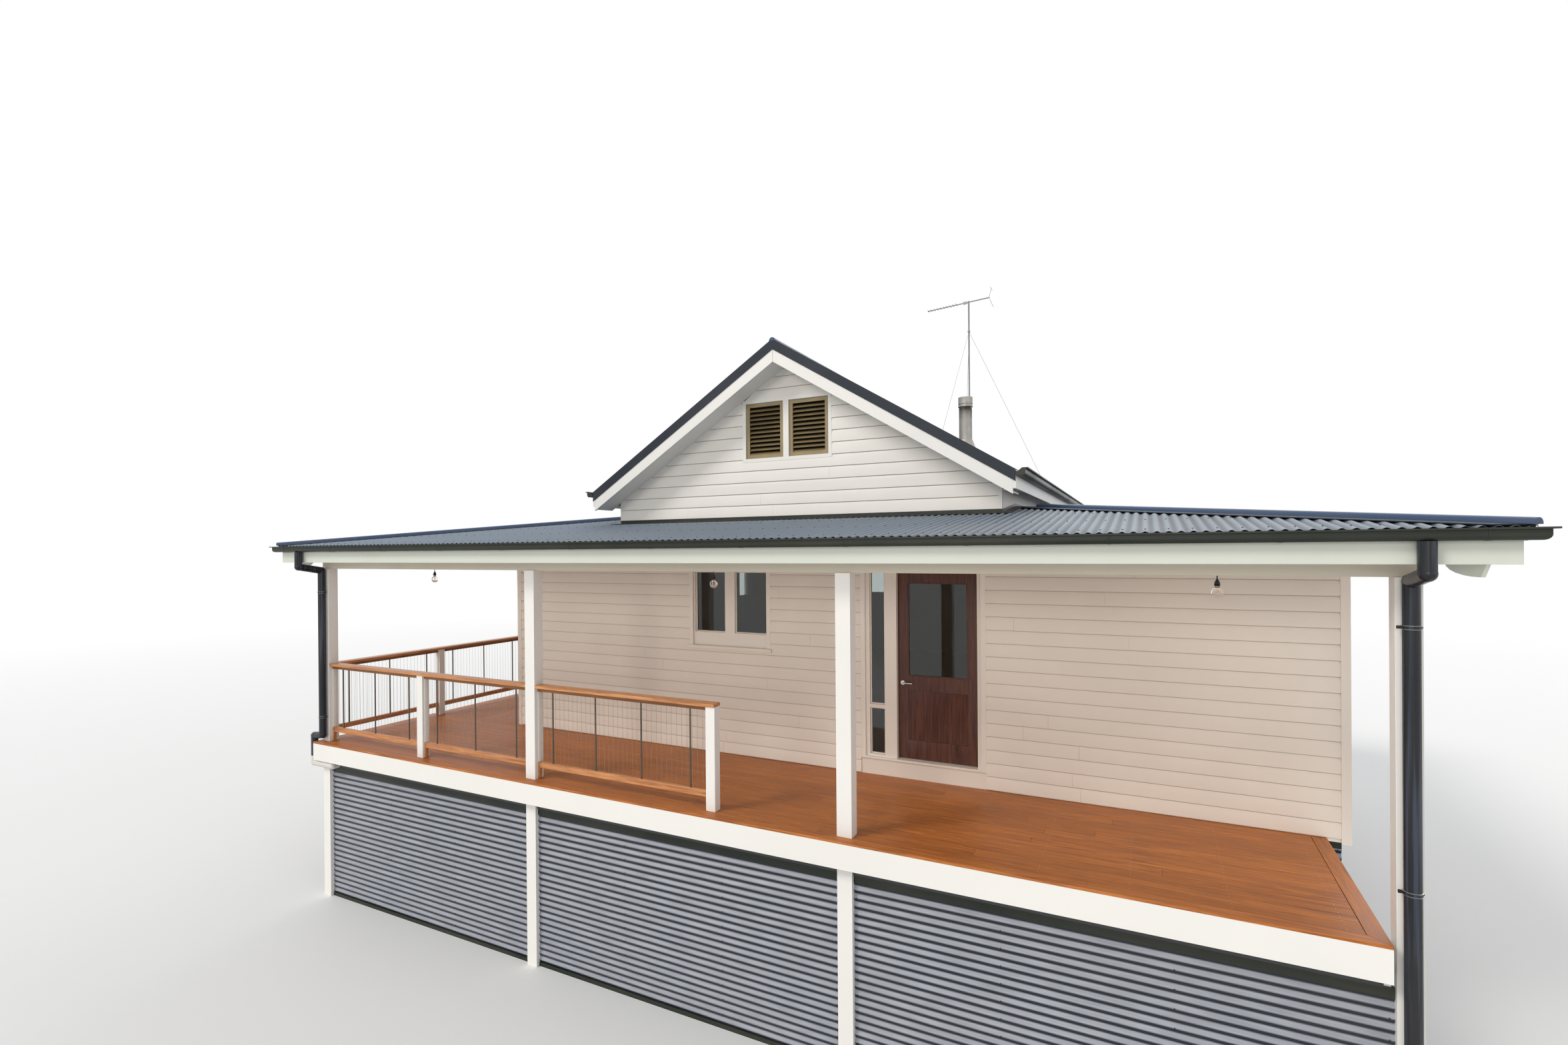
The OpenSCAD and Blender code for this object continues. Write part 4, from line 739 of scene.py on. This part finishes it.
def weatherboards(shape, place, limits, foot, top, holes):
    """Boards on one wall: place(u, out, z) puts a corner, limits(z) gives the wall's ends at a height."""
    course = foot
    while course < top - SLIVER:
        stop = min(course + BOARD_SHOW, top)
        start, end = limits(course)
        breaks = [(u, course, u + END_GAP, stop) for u in end_joints(start, end, *BOARD_LENGTHS)]
        rects = [(start, course, end, stop)]
        for hole in holes + breaks:
            rects = cut_out(rects, hole)
        for u0, z0, u1, z1 in rects:
            section, shade_and_grime = board_section(z0 - course, z1 - course)
            lefts, rights = [], []
            for h, out in section:
                left, right = limits(course + h)
                a = max(u0, left)
                lefts.append(place(a, out, course + h))
                rights.append(place(max(min(u1, right), a + SLIVER / 2), out, course + h))
            shape.add(lefts + rights, ring_faces(2, len(section)), shade_and_grime + [0.0, 0.0])
        course = stop


# A sill's end past the trim, and how near a window is to the face of its wall
SILL_HORN = 0.020
FACE_NEAR = 0.01


def window_holes(across, face):
    """The trims of the windows in one wall as rectangles along the wall."""
    along = 1 - across
    found = []
    for low, high in windows:
        if thin_axis(low, high) == across and low[across] - FACE_NEAR < face < high[across] + FACE_NEAR:
            found.append((low[along] + SILL_HORN, low.z, high[along] - SILL_HORN, high.z))
    return found


# Boards over the deck, and below the foot of the wall where there is no deck
DECK_CLEAR = 0.008
FOOT_LAP = 0.010
entry_low, entry_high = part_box("door_frame")
entry_hole = (entry_low.x, deck_low.z, entry_high.x, entry_high.z)
deck_foot = deck_high.z + DECK_CLEAR
ground_foot = wall_foot - FOOT_LAP


def wall_boards(across, face, out_way, foot, entry):
    """Boards of an outer wall whose face is across X (0) or Y (1), with the doorway as entry."""
    first, last = (wall_l, wall_r) if across else (wall_f, wall_b)
    limits = (first + CORNER_BOARD, last - CORNER_BOARD)

    def place(u, out, z):
        return (u, face + out_way * out, z) if across else (face + out_way * out, u, z)

    boards = Shape()
    weatherboards(boards, place, lambda z: limits, foot, ceiling, window_holes(across, face) + entry)
    return boards


for name, wall in {
    "front_weatherboards": (1, wall_f, -1, deck_foot, [entry_hole]),
    "rear_weatherboards": (1, wall_b, 1, ground_foot, []),
    "right_weatherboards": (0, wall_r, 1, ground_foot, []),
    "left_weatherboards": (0, wall_l, -1, deck_foot, []),
}.items():
    wall_boards(*wall).piece(name, wall_shaded, "white")

# Corner boards at the four corners of the house
corner_boards = Shape()
for x, sx in ((wall_l, -1), (wall_r, 1)):
    for y, sy in ((wall_f, -1), (wall_b, 1)):
        foot = deck_high.z if (sx, sy) == (-1, -1) else ground_foot
        for xs, ys in (
            ((x - sx * CORNER_BOARD, x + sx * CORNER_T), (y, y + sy * CORNER_T)),
            ((x, x + sx * CORNER_T), (y, y - sy * CORNER_BOARD)),
        ):
            corner_boards.block((min(xs), min(ys), foot), (max(xs), max(ys), ceiling))
corner_boards.piece("corner_boards", trim_shaded_paint, "white", bevel=0.002)


# The two gables

# The flashing's height, the boards' top under the raked lining, and the corner boards' width
FLASHING_H = 0.065
SOFFIT_GAP = 0.02
GABLE_CORNER = 0.038
# Insect screens behind the louvres: in from the vents' edges, and how thick
SCREEN_IN = 0.03
SCREEN_T = 0.002
GABLES = ((-1, core_low.y), (1, core_high.y))
soffit_low, soffit_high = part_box("gable_soffits")
soffit_drop = high_z((soffit_high.x - soffit_low.x) / 2) - soffit_low.z
gable_foot = low_z(core_low.y + half_d) + FLASHING_H


def soffit_z(x):
    """Underside of the gable's raked lining."""
    return high_z(abs(x - core_x)) - soffit_drop


def gable_limits(z):
    """Ends of the gable's boards at a height, under the raked lining."""
    reach = min((core_high.x - core_low.x) / 2, (soffit_z(core_x) - z) / HIGH_RISE)
    return core_x - max(reach, SLIVER), core_x + max(reach, SLIVER)


surrounds = solids("vent_surrounds")
gable_boards = Shape()
for out_y, face in GABLES:
    holes = [(low.x, low.z, high.x, high.z) for low, high in surrounds if out_y * low.y > 0]
    weatherboards(
        gable_boards, lambda u, out, z: (u, face + out_y * out, z), gable_limits,
        gable_foot, soffit_z(core_x) - SOFFIT_GAP, holes,
    )
gable_boards.piece("gable_weatherboards", gable_white, "white")

screens = Shape()
for low, high in solids("gable_vents"):
    inner_y = high.y if high.y < 0 else low.y
    near, far = sorted((inner_y, inner_y + math.copysign(SCREEN_T, inner_y)))
    screens.block(
        (low.x + SCREEN_IN, near, low.z + SCREEN_IN), (high.x - SCREEN_IN, far, high.z - SCREEN_IN)
    )
screens.piece("vent_screens", lamp_black, "lamp_black")

gable_corners = Shape()
for out_y, face in GABLES:
    for out_x, x in ((-1, core_low.x), (1, core_high.x)):
        inner = x - out_x * GABLE_CORNER
        outline = [(inner, gable_foot), (x, gable_foot), (x, soffit_z(x)), (inner, soffit_z(inner))]
        gable_corners.prism(outline, lambda u, z, t: (u, t, z), *sorted((face, face + out_y * CORNER_T)))
gable_corners.piece("gable_corner_boards", gable_white, "white", bevel=0.0015)


# Deck

DECK_BOARD = 0.140
DECK_GAP = 0.004
DECK_LENGTHS = (2.4, 4.8)
# Tones of the border boards, along the front and up the right side
BORDER_TONES = (0.2, 0.35)
# Screws in from a board's edges and clear of a post, and their heads
DECK_SCREW_IN = 0.028
HOLE_CLEAR = 0.01
DECK_HEAD = (0.0045, 0.0006)
NOSE = front_post[0].y - deck_low.y
post_holes = [(low.x - SLIVER, low.y - SLIVER, high.x + SLIVER, high.y + SLIVER) for low, high in posts]
joists = solids("deck_joists")
front_joists = [middle(joist).x for joist in joists if thin_axis(*joist) == 0]
side_joists = [middle(joist).y for joist in joists if thin_axis(*joist) == 1]


def inside(u, v, rect, grow):
    """Whether a point lies in a rectangle that is grown on every side."""
    return rect[0] - grow < u < rect[2] + grow and rect[1] - grow < v < rect[3] + grow


def deck_run(shape, screws, start, end, rows, holes, place, at_joists):
    """Boards from start to end in rows of (from, to), with screws at the joists.

    holes are the posts' places as rectangles, and place(u, v, z) puts a corner.
    """
    for v0, v1 in rows:
        tone = rng.random()
        edges = [start, *end_joints(start, end, *DECK_LENGTHS), end]
        for a, b in zip(edges, edges[1:]):
            tone = (tone + rng.uniform(0.2, 0.8)) % 1.0
            rects = [(a, v0, b - END_GAP, v1)]
            for hole in holes:
                rects = cut_out(rects, hole)
            for left, near, right, far in rects:
                outline = [(left, near), (right, near), (right, far), (left, far)]
                shape.prism(outline, place, deck_low.z, deck_high.z, tone)
        for u in at_joists:
            for v in (v0 + DECK_SCREW_IN, v1 - DECK_SCREW_IN):
                if start < u < end and not any(inside(u, v, hole, HOLE_CLEAR) for hole in holes):
                    screws.screw(place(u, v, deck_high.z), (0, 0, 1), DECK_HEAD)


def rows_between(start, end):
    """Rows of equal boards, as (from, to), that fill a width."""
    count = max(1, round((end - start + DECK_GAP) / (DECK_BOARD + DECK_GAP)))
    pitch = (end - start + DECK_GAP) / count
    return [(start + i * pitch, start + (i + 1) * pitch - DECK_GAP) for i in range(count)]


front_deck, side_deck, deck_screws = Shape(), Shape(), Shape()
nose_y = deck_low.y + NOSE
nose_x = deck_high.x - NOSE
front_border = [
    (deck_low.x, deck_low.y), (deck_high.x - SLIVER, deck_low.y),
    (nose_x - SLIVER, nose_y), (deck_low.x, nose_y),
]
right_border = [
    (deck_high.x, deck_low.y + SLIVER), (deck_high.x, wall_f - SLIVER),
    (nose_x, wall_f - SLIVER), (nose_x, nose_y + SLIVER),
]
front_deck.prism(front_border, as_given, deck_low.z, deck_high.z, BORDER_TONES[0])
side_deck.prism(right_border, as_given, deck_low.z, deck_high.z, BORDER_TONES[1])
deck_run(
    front_deck, deck_screws, deck_low.x, nose_x - DECK_GAP,
    rows_between(nose_y + DECK_GAP, wall_f - SLIVER), post_holes, as_given, front_joists,
)
turned_holes = [(h[1], h[0], h[3], h[2]) for h in post_holes]
deck_run(
    side_deck, deck_screws, wall_f + DECK_GAP, wall_b,
    rows_between(deck_low.x, wall_l - SLIVER), turned_holes, lambda u, v, z: (v, u, z), side_joists,
)
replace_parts(front_deck.piece("front_deck_boards", deck_x, "decking", bevel=0.0015), "deck")
side_deck.piece("side_deck_boards", deck_y, "decking", bevel=0.0015)
deck_screws.piece("deck_screws", stainless, "galvanised")


# Wires of the balustrade, and battens on the posts at their ends

WIRE_PITCH = 0.066
WIRE_R = 0.0014
WIRE_SIDES = 5
BATTEN_W = 0.042
BATTEN_T = 0.012
# How near a post in a row is to the row's middle
ROW_NEAR = 0.1
upright_low, upright_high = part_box("steel_uprights")
wires, battens = Shape(), Shape()
for axis, row in ((0, front_row), (1, side_row)):
    # Posts and newels that stand in the row, in order along it
    stops = [box for box in posts + newels if abs(middle(box)[1 - axis] - row) < ROW_NEAR]
    stops.sort(key=lambda box: box[0][axis])
    if axis == 0:
        last = max(low.x for low, high in newels)
        stops = [box for box in stops if box[0].x <= last]
    for one, two in zip(stops, stops[1:]):
        start, end = one[1][axis], two[0][axis]
        count = round((end - start) / WIRE_PITCH)
        for i in range(1, count):
            at = start + (end - start) * i / count
            plan = (at, row) if axis == 0 else (row, at)
            wires.tube([(*plan, upright_low.z), (*plan, upright_high.z)], WIRE_R, WIRE_SIDES)
        for at, towards in ((start, 1), (end, -1)):
            a, b = [row - BATTEN_W / 2] * 3, [row + BATTEN_W / 2] * 3
            a[axis], b[axis] = sorted((at, at + towards * BATTEN_T))
            a[2], b[2] = upright_low.z, upright_high.z
            battens.block(a, b)
wires.piece("balustrade_wires", wire_steel, "galvanised")
battens.piece("post_battens", white, "white", bevel=0.002)


# Beads round the glass

BEAD_W = 0.014
BEAD_T = 0.012


def beads(shape, low, high):
    """A square bead round both faces of a pane."""
    across = thin_axis(low, high)
    along = 1 - across
    for a, b in ((low[across] - BEAD_T, low[across]), (high[across], high[across] + BEAD_T)):
        for u0, z0, u1, z1 in cut_out(
            [(low[along], low.z, high[along], high.z)],
            (low[along] + BEAD_W, low.z + BEAD_W, high[along] - BEAD_W, high.z - BEAD_W),
        ):
            corner, far = [a, a, z0], [b, b, z1]
            corner[along], far[along] = u0, u1
            shape.block(corner, far)


window_beads, door_beads = Shape(), Shape()
for low, high in solids("window_glass"):
    beads(window_beads, low, high)
window_beads.piece("window_beads", trim_shaded_paint, "white", bevel=0.002)
beads(door_beads, *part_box("door_glass"))
door_beads.piece("door_beads", door_timber, "door_timber", body=DOOR, bevel=0.002)


# Straps under the eave gutters

STRAP_GAP = 1.05
STRAP_W = 0.024
STRAP_T = 0.0018
STRAP_SEAT = 0.0002
STRAP_STEPS = 6
# The first strap in from a corner, and a strap's back edge in from the sheets
STRAP_IN = 0.3
STRAP_BACK = 0.048
# The gutter's face in from its lip, its rounded foot, and its lip's height
GUTTER_LIP = 0.028
GUTTER_R = 0.034
LIP_H = 0.012


def strap_outline(grow):
    """The gutter's face and foot from under its lip to the fascia, grown outwards."""
    height = gutter_high.z - gutter_low.z
    reach = GUTTER_R + grow
    points = [(GUTTER_LIP - grow, height - LIP_H)]
    for i in range(STRAP_STEPS + 1):
        angle = math.radians(90 - i * 90 / STRAP_STEPS)
        points.append((GUTTER_LIP + GUTTER_R - reach * math.sin(angle), GUTTER_R - reach * math.cos(angle)))
    return points + [(sheet_edge + STRAP_BACK, -grow)]


straps = Shape()
outline = strap_outline(STRAP_T) + strap_outline(STRAP_SEAT)[::-1]
for side in range(4):
    run = (half_w, half_d)[side % 2] - STRAP_IN
    count = round(2 * run / STRAP_GAP)

    def place(v, z, t):
        return (*around(side, t, v), gutter_low.z + z)

    for i in range(count + 1):
        u = run * (2 * i / count - 1)
        straps.prism(outline, place, u - STRAP_W / 2, u + STRAP_W / 2)
straps.piece("gutter_straps", gutter_steel, "roofing")


# Beads, lugs and bolts of the downpipes' clips

CLIP_DROP = 0.35
CLIP_H = 0.025
CLIP_R = 0.053
PIPE_OFF = 0.054
# A bead's section, as out from the clip and height, and its lap over the clip's edge
CLIP_BEAD = ((0.0, 0.0), (0.002, 0.001), (0.002, 0.0025), (0.0, 0.0035))
CLIP_LAP = 0.002
# Lugs: their ends out from the clip, in from its edges, and their sides along Y
LUG_ENDS = (-0.004, 0.026)
LUG_IN = 0.002
LUGS = ((-0.007, -0.004), (0.004, 0.007))
# The bolt out from the clip, and its shank, head and nut: ends along Y, radius, sides
BOLT_OUT = 0.014
BOLT_PARTS = ((-0.019, 0.019, 0.004, 10), (-0.013, -0.007, 0.0085, 6), (0.007, 0.013, 0.0085, 6))
CLIP_HEAD = (0.007, 0.006)
CLIP_SIDES = 32
clip_beads, clip_bolts = Shape(), Shape()
clip_feet = (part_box("verandah_beams")[0].z - CLIP_DROP, deck_high.z + CLIP_DROP)
for x in (side_row, -side_row):
    inward = math.copysign(1, -x)
    near, far = sorted(x + inward * (CLIP_R + reach) for reach in LUG_ENDS)
    for z in clip_feet:
        centre = Vector((x, front_post[0].y - PIPE_OFF, z))
        for foot in (-CLIP_LAP, CLIP_H - CLIP_LAP):
            profile = [(CLIP_R + out, h) for out, h in CLIP_BEAD]
            clip_beads.lathe(centre + Vector((0, 0, foot)), profile, CLIP_SIDES)
        for y0, y1 in LUGS:
            clip_bolts.block((near, centre.y + y0, z + LUG_IN), (far, centre.y + y1, z + CLIP_H - LUG_IN))
        bolt = centre + Vector((inward * (CLIP_R + BOLT_OUT), 0, CLIP_H / 2))
        for y0, y1, radius, sides in BOLT_PARTS:
            clip_bolts.tube([bolt + Vector((0, y0, 0)), bolt + Vector((0, y1, 0))], radius, sides)
        screw_at = centre + Vector((-inward * CLIP_R, 0, CLIP_H / 2))
        clip_bolts.screw(screw_at, (-inward, 0, 0), CLIP_HEAD)
clip_beads.piece("clip_beads", stainless, "roofing")
clip_bolts.piece("clip_bolts", gutter_steel, "roofing")


# Rivets along the barge cappings

RIVET_GAP = 0.30
# Rivets out from the ridge, in from the sheets' end and under the sheets
RIVET_START = 0.10
RIVET_END = 0.08
RIVET_DROP = 0.045
RIVET_HEAD = (0.005, 0.003)
CAPPING_T = 0.008
rivets = Shape()
for sy in (-1, 1):
    y = (high_high.y + CAPPING_T) * sy
    for sx in (-1, 1):
        d = RIVET_START
        while d < high_reach - RIVET_END:
            rivets.screw((core_x + sx * d, y, high_z(d) - RIVET_DROP), (0, sy, 0), RIVET_HEAD)
            d += RIVET_GAP
rivets.piece("capping_rivets", gutter_steel, "roofing")


# Cover strips of the lining under the verandah roof

STRIP_W = 0.042
STRIP_T = 0.007
STRIP_GAP = 1.2
# Strips each way from the middle, and their ends out from the walls
STRIP_PAIRS = 5
STRIP_END = 0.022
strips = Shape()
edge = gutter_high.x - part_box("ceiling_lining")[1].x
for i in range(-STRIP_PAIRS, STRIP_PAIRS + 1):
    at = i * STRIP_GAP
    low, high = at - STRIP_W / 2, at + STRIP_W / 2
    strips.block((low, edge - half_d, ceiling - STRIP_T), (high, wall_f - STRIP_END, ceiling))
    if at > wall_f:
        strips.block((edge - half_w, low, ceiling - STRIP_T), (wall_l - STRIP_END, high, ceiling))
strips.piece("lining_strips", lining_white, "lining", bevel=0.002)


# Bulbs with their filaments, and ribbed lamp holders on their rods

# Radius and height as shares of the bulb's diameter
GLOBE = (
    (0.05, 0.0), (0.22, 0.03), (0.38, 0.13), (0.475, 0.30), (0.50, 0.50),
    (0.465, 0.69), (0.35, 0.85), (0.22, 0.95), (0.16, 1.01), (0.145, 1.08),
)
# The filament's zigzag in shares of the bulb's diameter, and its turn in radians
ZIGZAG_POINTS = 7
ZIGZAG_R = 0.12
ZIGZAG_TURN = 2.1
ZIGZAG_FOOT = 0.40
ZIGZAG_RISE = 0.26
ZIGZAG_TOP = 0.74
FILAMENT_R = 0.0009
# Radius and height of the holder over the bulb, and of the rose under the lining
HOLDER = (
    (0.017, 0.0), (0.024, 0.004), (0.025, 0.008), (0.0195, 0.012), (0.025, 0.017),
    (0.025, 0.021), (0.020, 0.026), (0.021, 0.031), (0.021, 0.035), (0.0165, 0.040),
    (0.0165, 0.046), (0.0125, 0.049), (0.0115, 0.056), (0.005, 0.062),
)
ROSE = ((0.005, -0.020), (0.046, -0.016), (0.050, -0.010), (0.050, 0.0))
bulbs, filaments, holders = Shape(), Shape(), Shape()
for low, high in solids("light_bulbs"):
    foot = Vector((*middle((low, high)).xy, low.z))
    size = high.x - low.x
    bulbs.lathe(foot, [(r * size, h * size) for r, h in GLOBE])
    wire = [foot + Vector((0, 0, size)), foot + Vector((0, 0, ZIGZAG_TOP * size))]
    for i in range(ZIGZAG_POINTS):
        angle, height = ZIGZAG_TURN * i, ZIGZAG_FOOT + ZIGZAG_RISE * (i % 2)
        wire.append(foot + Vector((ZIGZAG_R * math.cos(angle), ZIGZAG_R * math.sin(angle), height)) * size)
    filaments.tube(wire, FILAMENT_R, WIRE_SIDES)
    neck_h = high.z - low.z
    drop = ceiling - low.z - neck_h
    holders.lathe(foot + Vector((0, 0, neck_h)), [*HOLDER, *((r, h + drop) for r, h in ROSE)])
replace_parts(bulbs.piece("light_globes", bulb_glass, "glazing"), "light_bulbs")
filaments.piece("light_filaments", filament_gold, "lamp_black")
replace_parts(holders.piece("lamp_holders", lamp_black, "lamp_black"), "pendant_lights")


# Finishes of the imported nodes, and the ones that show with eased edges

# The flue's cowl and clamp, and how far soot reaches down under them
COWL_H = 0.105
CLAMP_H = 0.050
SOOT_REACH = 0.22
soot_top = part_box("flue")[1].z - COWL_H - CLAMP_H
flue_steel = sooty_steel("flue_steel", (0.40, 0.38, 0.35), 0.42, soot_top, SOOT_REACH)

vent_low, vent_high = solids("gable_vents")[0]
# The louvres get painted shade that deepens into the vents
bronze = louvre_steel(
    "bronze_paint", (0.300, 0.225, 0.110), 0.34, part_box("gable_vents")[1].y, vent_high.y - vent_low.y
)

# The handrail, the sub-rail just under it darkened with painted shadow, and the side rails' start behind
# the front row
RAIL_T = 0.035
SUB_RAIL_H = 0.045
SUB_RAIL_GAP = 0.0005
SIDE_RAILS_FROM = 0.09
rail_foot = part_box("balustrade_rails")[1].z - RAIL_T
rail_timber = timber(
    "rail_timber", (0.35, 0.135, 0.048), (0.66, 0.300, 0.120), "X", roughness=0.32,
    turn=front_row + SIDE_RAILS_FROM, shadow_band=(rail_foot - SUB_RAIL_H - SLIVER, rail_foot - SUB_RAIL_GAP),
)
for nodes, finish, slot, width in (
    ("verandah_posts newel_posts", white, "white", 0.003),
    ("verandah_beams", beam_shaded_paint, "white", 0.003),
    ("deck_rims", white, "white", 0.002),
    ("eave_fascias", fascia_shaded_paint, "white", 0.002),
    ("barge_boards", white, "white", 0.003),
    ("balustrade_rails", rail_timber, "decking", 0.004),
    ("window_frames door_frame", trim_shaded_paint, "white", 0.002),
):
    for node in nodes.split():
        eased(node, finish, slot, width)
eased("front_door", door_timber, "door_timber", 0.002, DOOR)
for finish, nodes in (
    (wall_shaded, "front_wall_left front_wall_right front_wall_at_door left_wall right_wall rear_wall"),
    (gable_white, "upper_walls"),
    (lining_white, "ceiling_lining gable_soffits"),
    (white, "upper_eaves vent_surrounds"),
    (gutter_steel, "eave_gutters upper_gutters wall_flashings"),
    (capping_shaded_steel, "roof_cappings"),
    (pipe_steel, "downpipes"),
    (pvc, "stormwater_pipe"),
    (flue_steel, "flue"),
    (zinc, "aerial"),
    (bronze, "gable_vents"),
    (window_glass, "window_glass door_glass"),
    (stainless, "door_hinges door_handles"),
    (upright_steel, "steel_uprights"),
    (floor_timber, "floor"),
    (rough_sawn, "deck_joists"),
    (charcoal, "deck_bearers"),
    (footing, "stumps"),
):
    for node in nodes.split():
        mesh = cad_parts[node].data
        mesh.materials.clear()
        mesh.materials.append(finish)


# Floor, backdrop, light and camera

FLOOR_REACH = 90.0
FLOOR_T = 0.05
# Distances over which the floor fades into the backdrop
FADE = (16.0, 48.0)


def seen_rays(nodes):
    """1 for the rays that show the backdrop itself: camera, glossy and transmission rays."""
    rays = nodes.add("ShaderNodeLightPath").outputs
    share = nodes.math("MAXIMUM", rays["Is Camera Ray"], rays["Is Glossy Ray"])
    return nodes.math("MAXIMUM", share, rays["Is Transmission Ray"])


def studio_floor():
    """A pale floor that fades into the white backdrop far from the house."""
    f = Finish("studio_floor")
    cloud = f.noise(f.place, 0.05, 2.0)
    f.done(f.mix(cloud, (0.80, 0.80, 0.79), (0.83, 0.83, 0.82)), 0.7)
    distance = f.add("ShaderNodeVectorMath", {0: f.place}, operation="LENGTH").outputs["Value"]
    far = f.ramp(distance, *FADE)
    glow = f.add("ShaderNodeEmission", {"Color": (1.0, 1.0, 1.0), "Strength": 1.0}).outputs[0]
    share = f.math("MULTIPLY", far, seen_rays(f))
    blend = f.add("ShaderNodeMixShader", {0: share, 1: f.shader.outputs[0], 2: glow})
    f.join(f.tree.nodes["Material Output"].inputs["Surface"], blend.outputs[0])
    return f.material


ground = Shape()
ground.block((-FLOOR_REACH, -FLOOR_REACH, -FLOOR_T), (FLOOR_REACH, FLOOR_REACH, 0.0))
floor_mesh = bpy.data.meshes.new("studio_floor")
floor_mesh.from_pydata(ground.verts, [], ground.faces)
floor_mesh.materials.append(studio_floor())
floor_piece = linked("studio_floor", floor_mesh)

world = bpy.data.worlds.new("studio")
world.use_nodes = True
studio = Nodes(world.node_tree)
sky = studio.tree.nodes["Background"]
sky.inputs["Color"].default_value = (0.93, 0.96, 1.0, 1.0)
sky.inputs["Strength"].default_value = 0.55
seen = studio.add("ShaderNodeBackground", {"Color": (1.0, 1.0, 1.0), "Strength": 1.0}).outputs[0]
blend = studio.add("ShaderNodeMixShader", {0: seen_rays(studio), 1: sky.outputs[0], 2: seen})
studio.join(studio.tree.nodes["World Output"].inputs["Surface"], blend.outputs[0])
bpy.context.scene.world = world


def sun(name, towards, strength, spread, colour=(1.0, 1.0, 1.0)):
    """A soft far light that shines along towards."""
    lamp = bpy.data.lights.new(name, "SUN")
    lamp.energy = strength
    lamp.angle = math.radians(spread)
    lamp.color = colour
    linked(name, lamp).rotation_euler = Vector(towards).to_track_quat("-Z", "Y").to_euler()


sun("key", (0.75, 1.0, -1.0), 1.5, 18, (1.0, 0.97, 0.92))
sun("low", (0.10, 1.0, -0.20), 0.55, 16, (1.0, 0.95, 0.88))
sun("fill", (-0.9, 0.35, -0.35), 0.45, 60)
sun("back", (-0.25, -1.0, -0.70), 0.8, 60)

CAMERA_PLACE = (4.4277, -12.965, 4.979)
CAMERA_TURN = (89.8613, 0.4643, 29.3832)
camera = bpy.data.cameras.new("photo_view")
camera.sensor_width = 36.0
camera.lens = 17.499
camera.shift_x = 0.04254
camera.shift_y = 0.018828
camera.clip_end = 400.0
camera_piece = linked("photo_view", camera)
camera_piece.location = CAMERA_PLACE
camera_piece.rotation_euler = [math.radians(a) for a in CAMERA_TURN]
bpy.context.scene.camera = camera_piece
bpy.context.scene.view_settings.view_transform = "Standard"
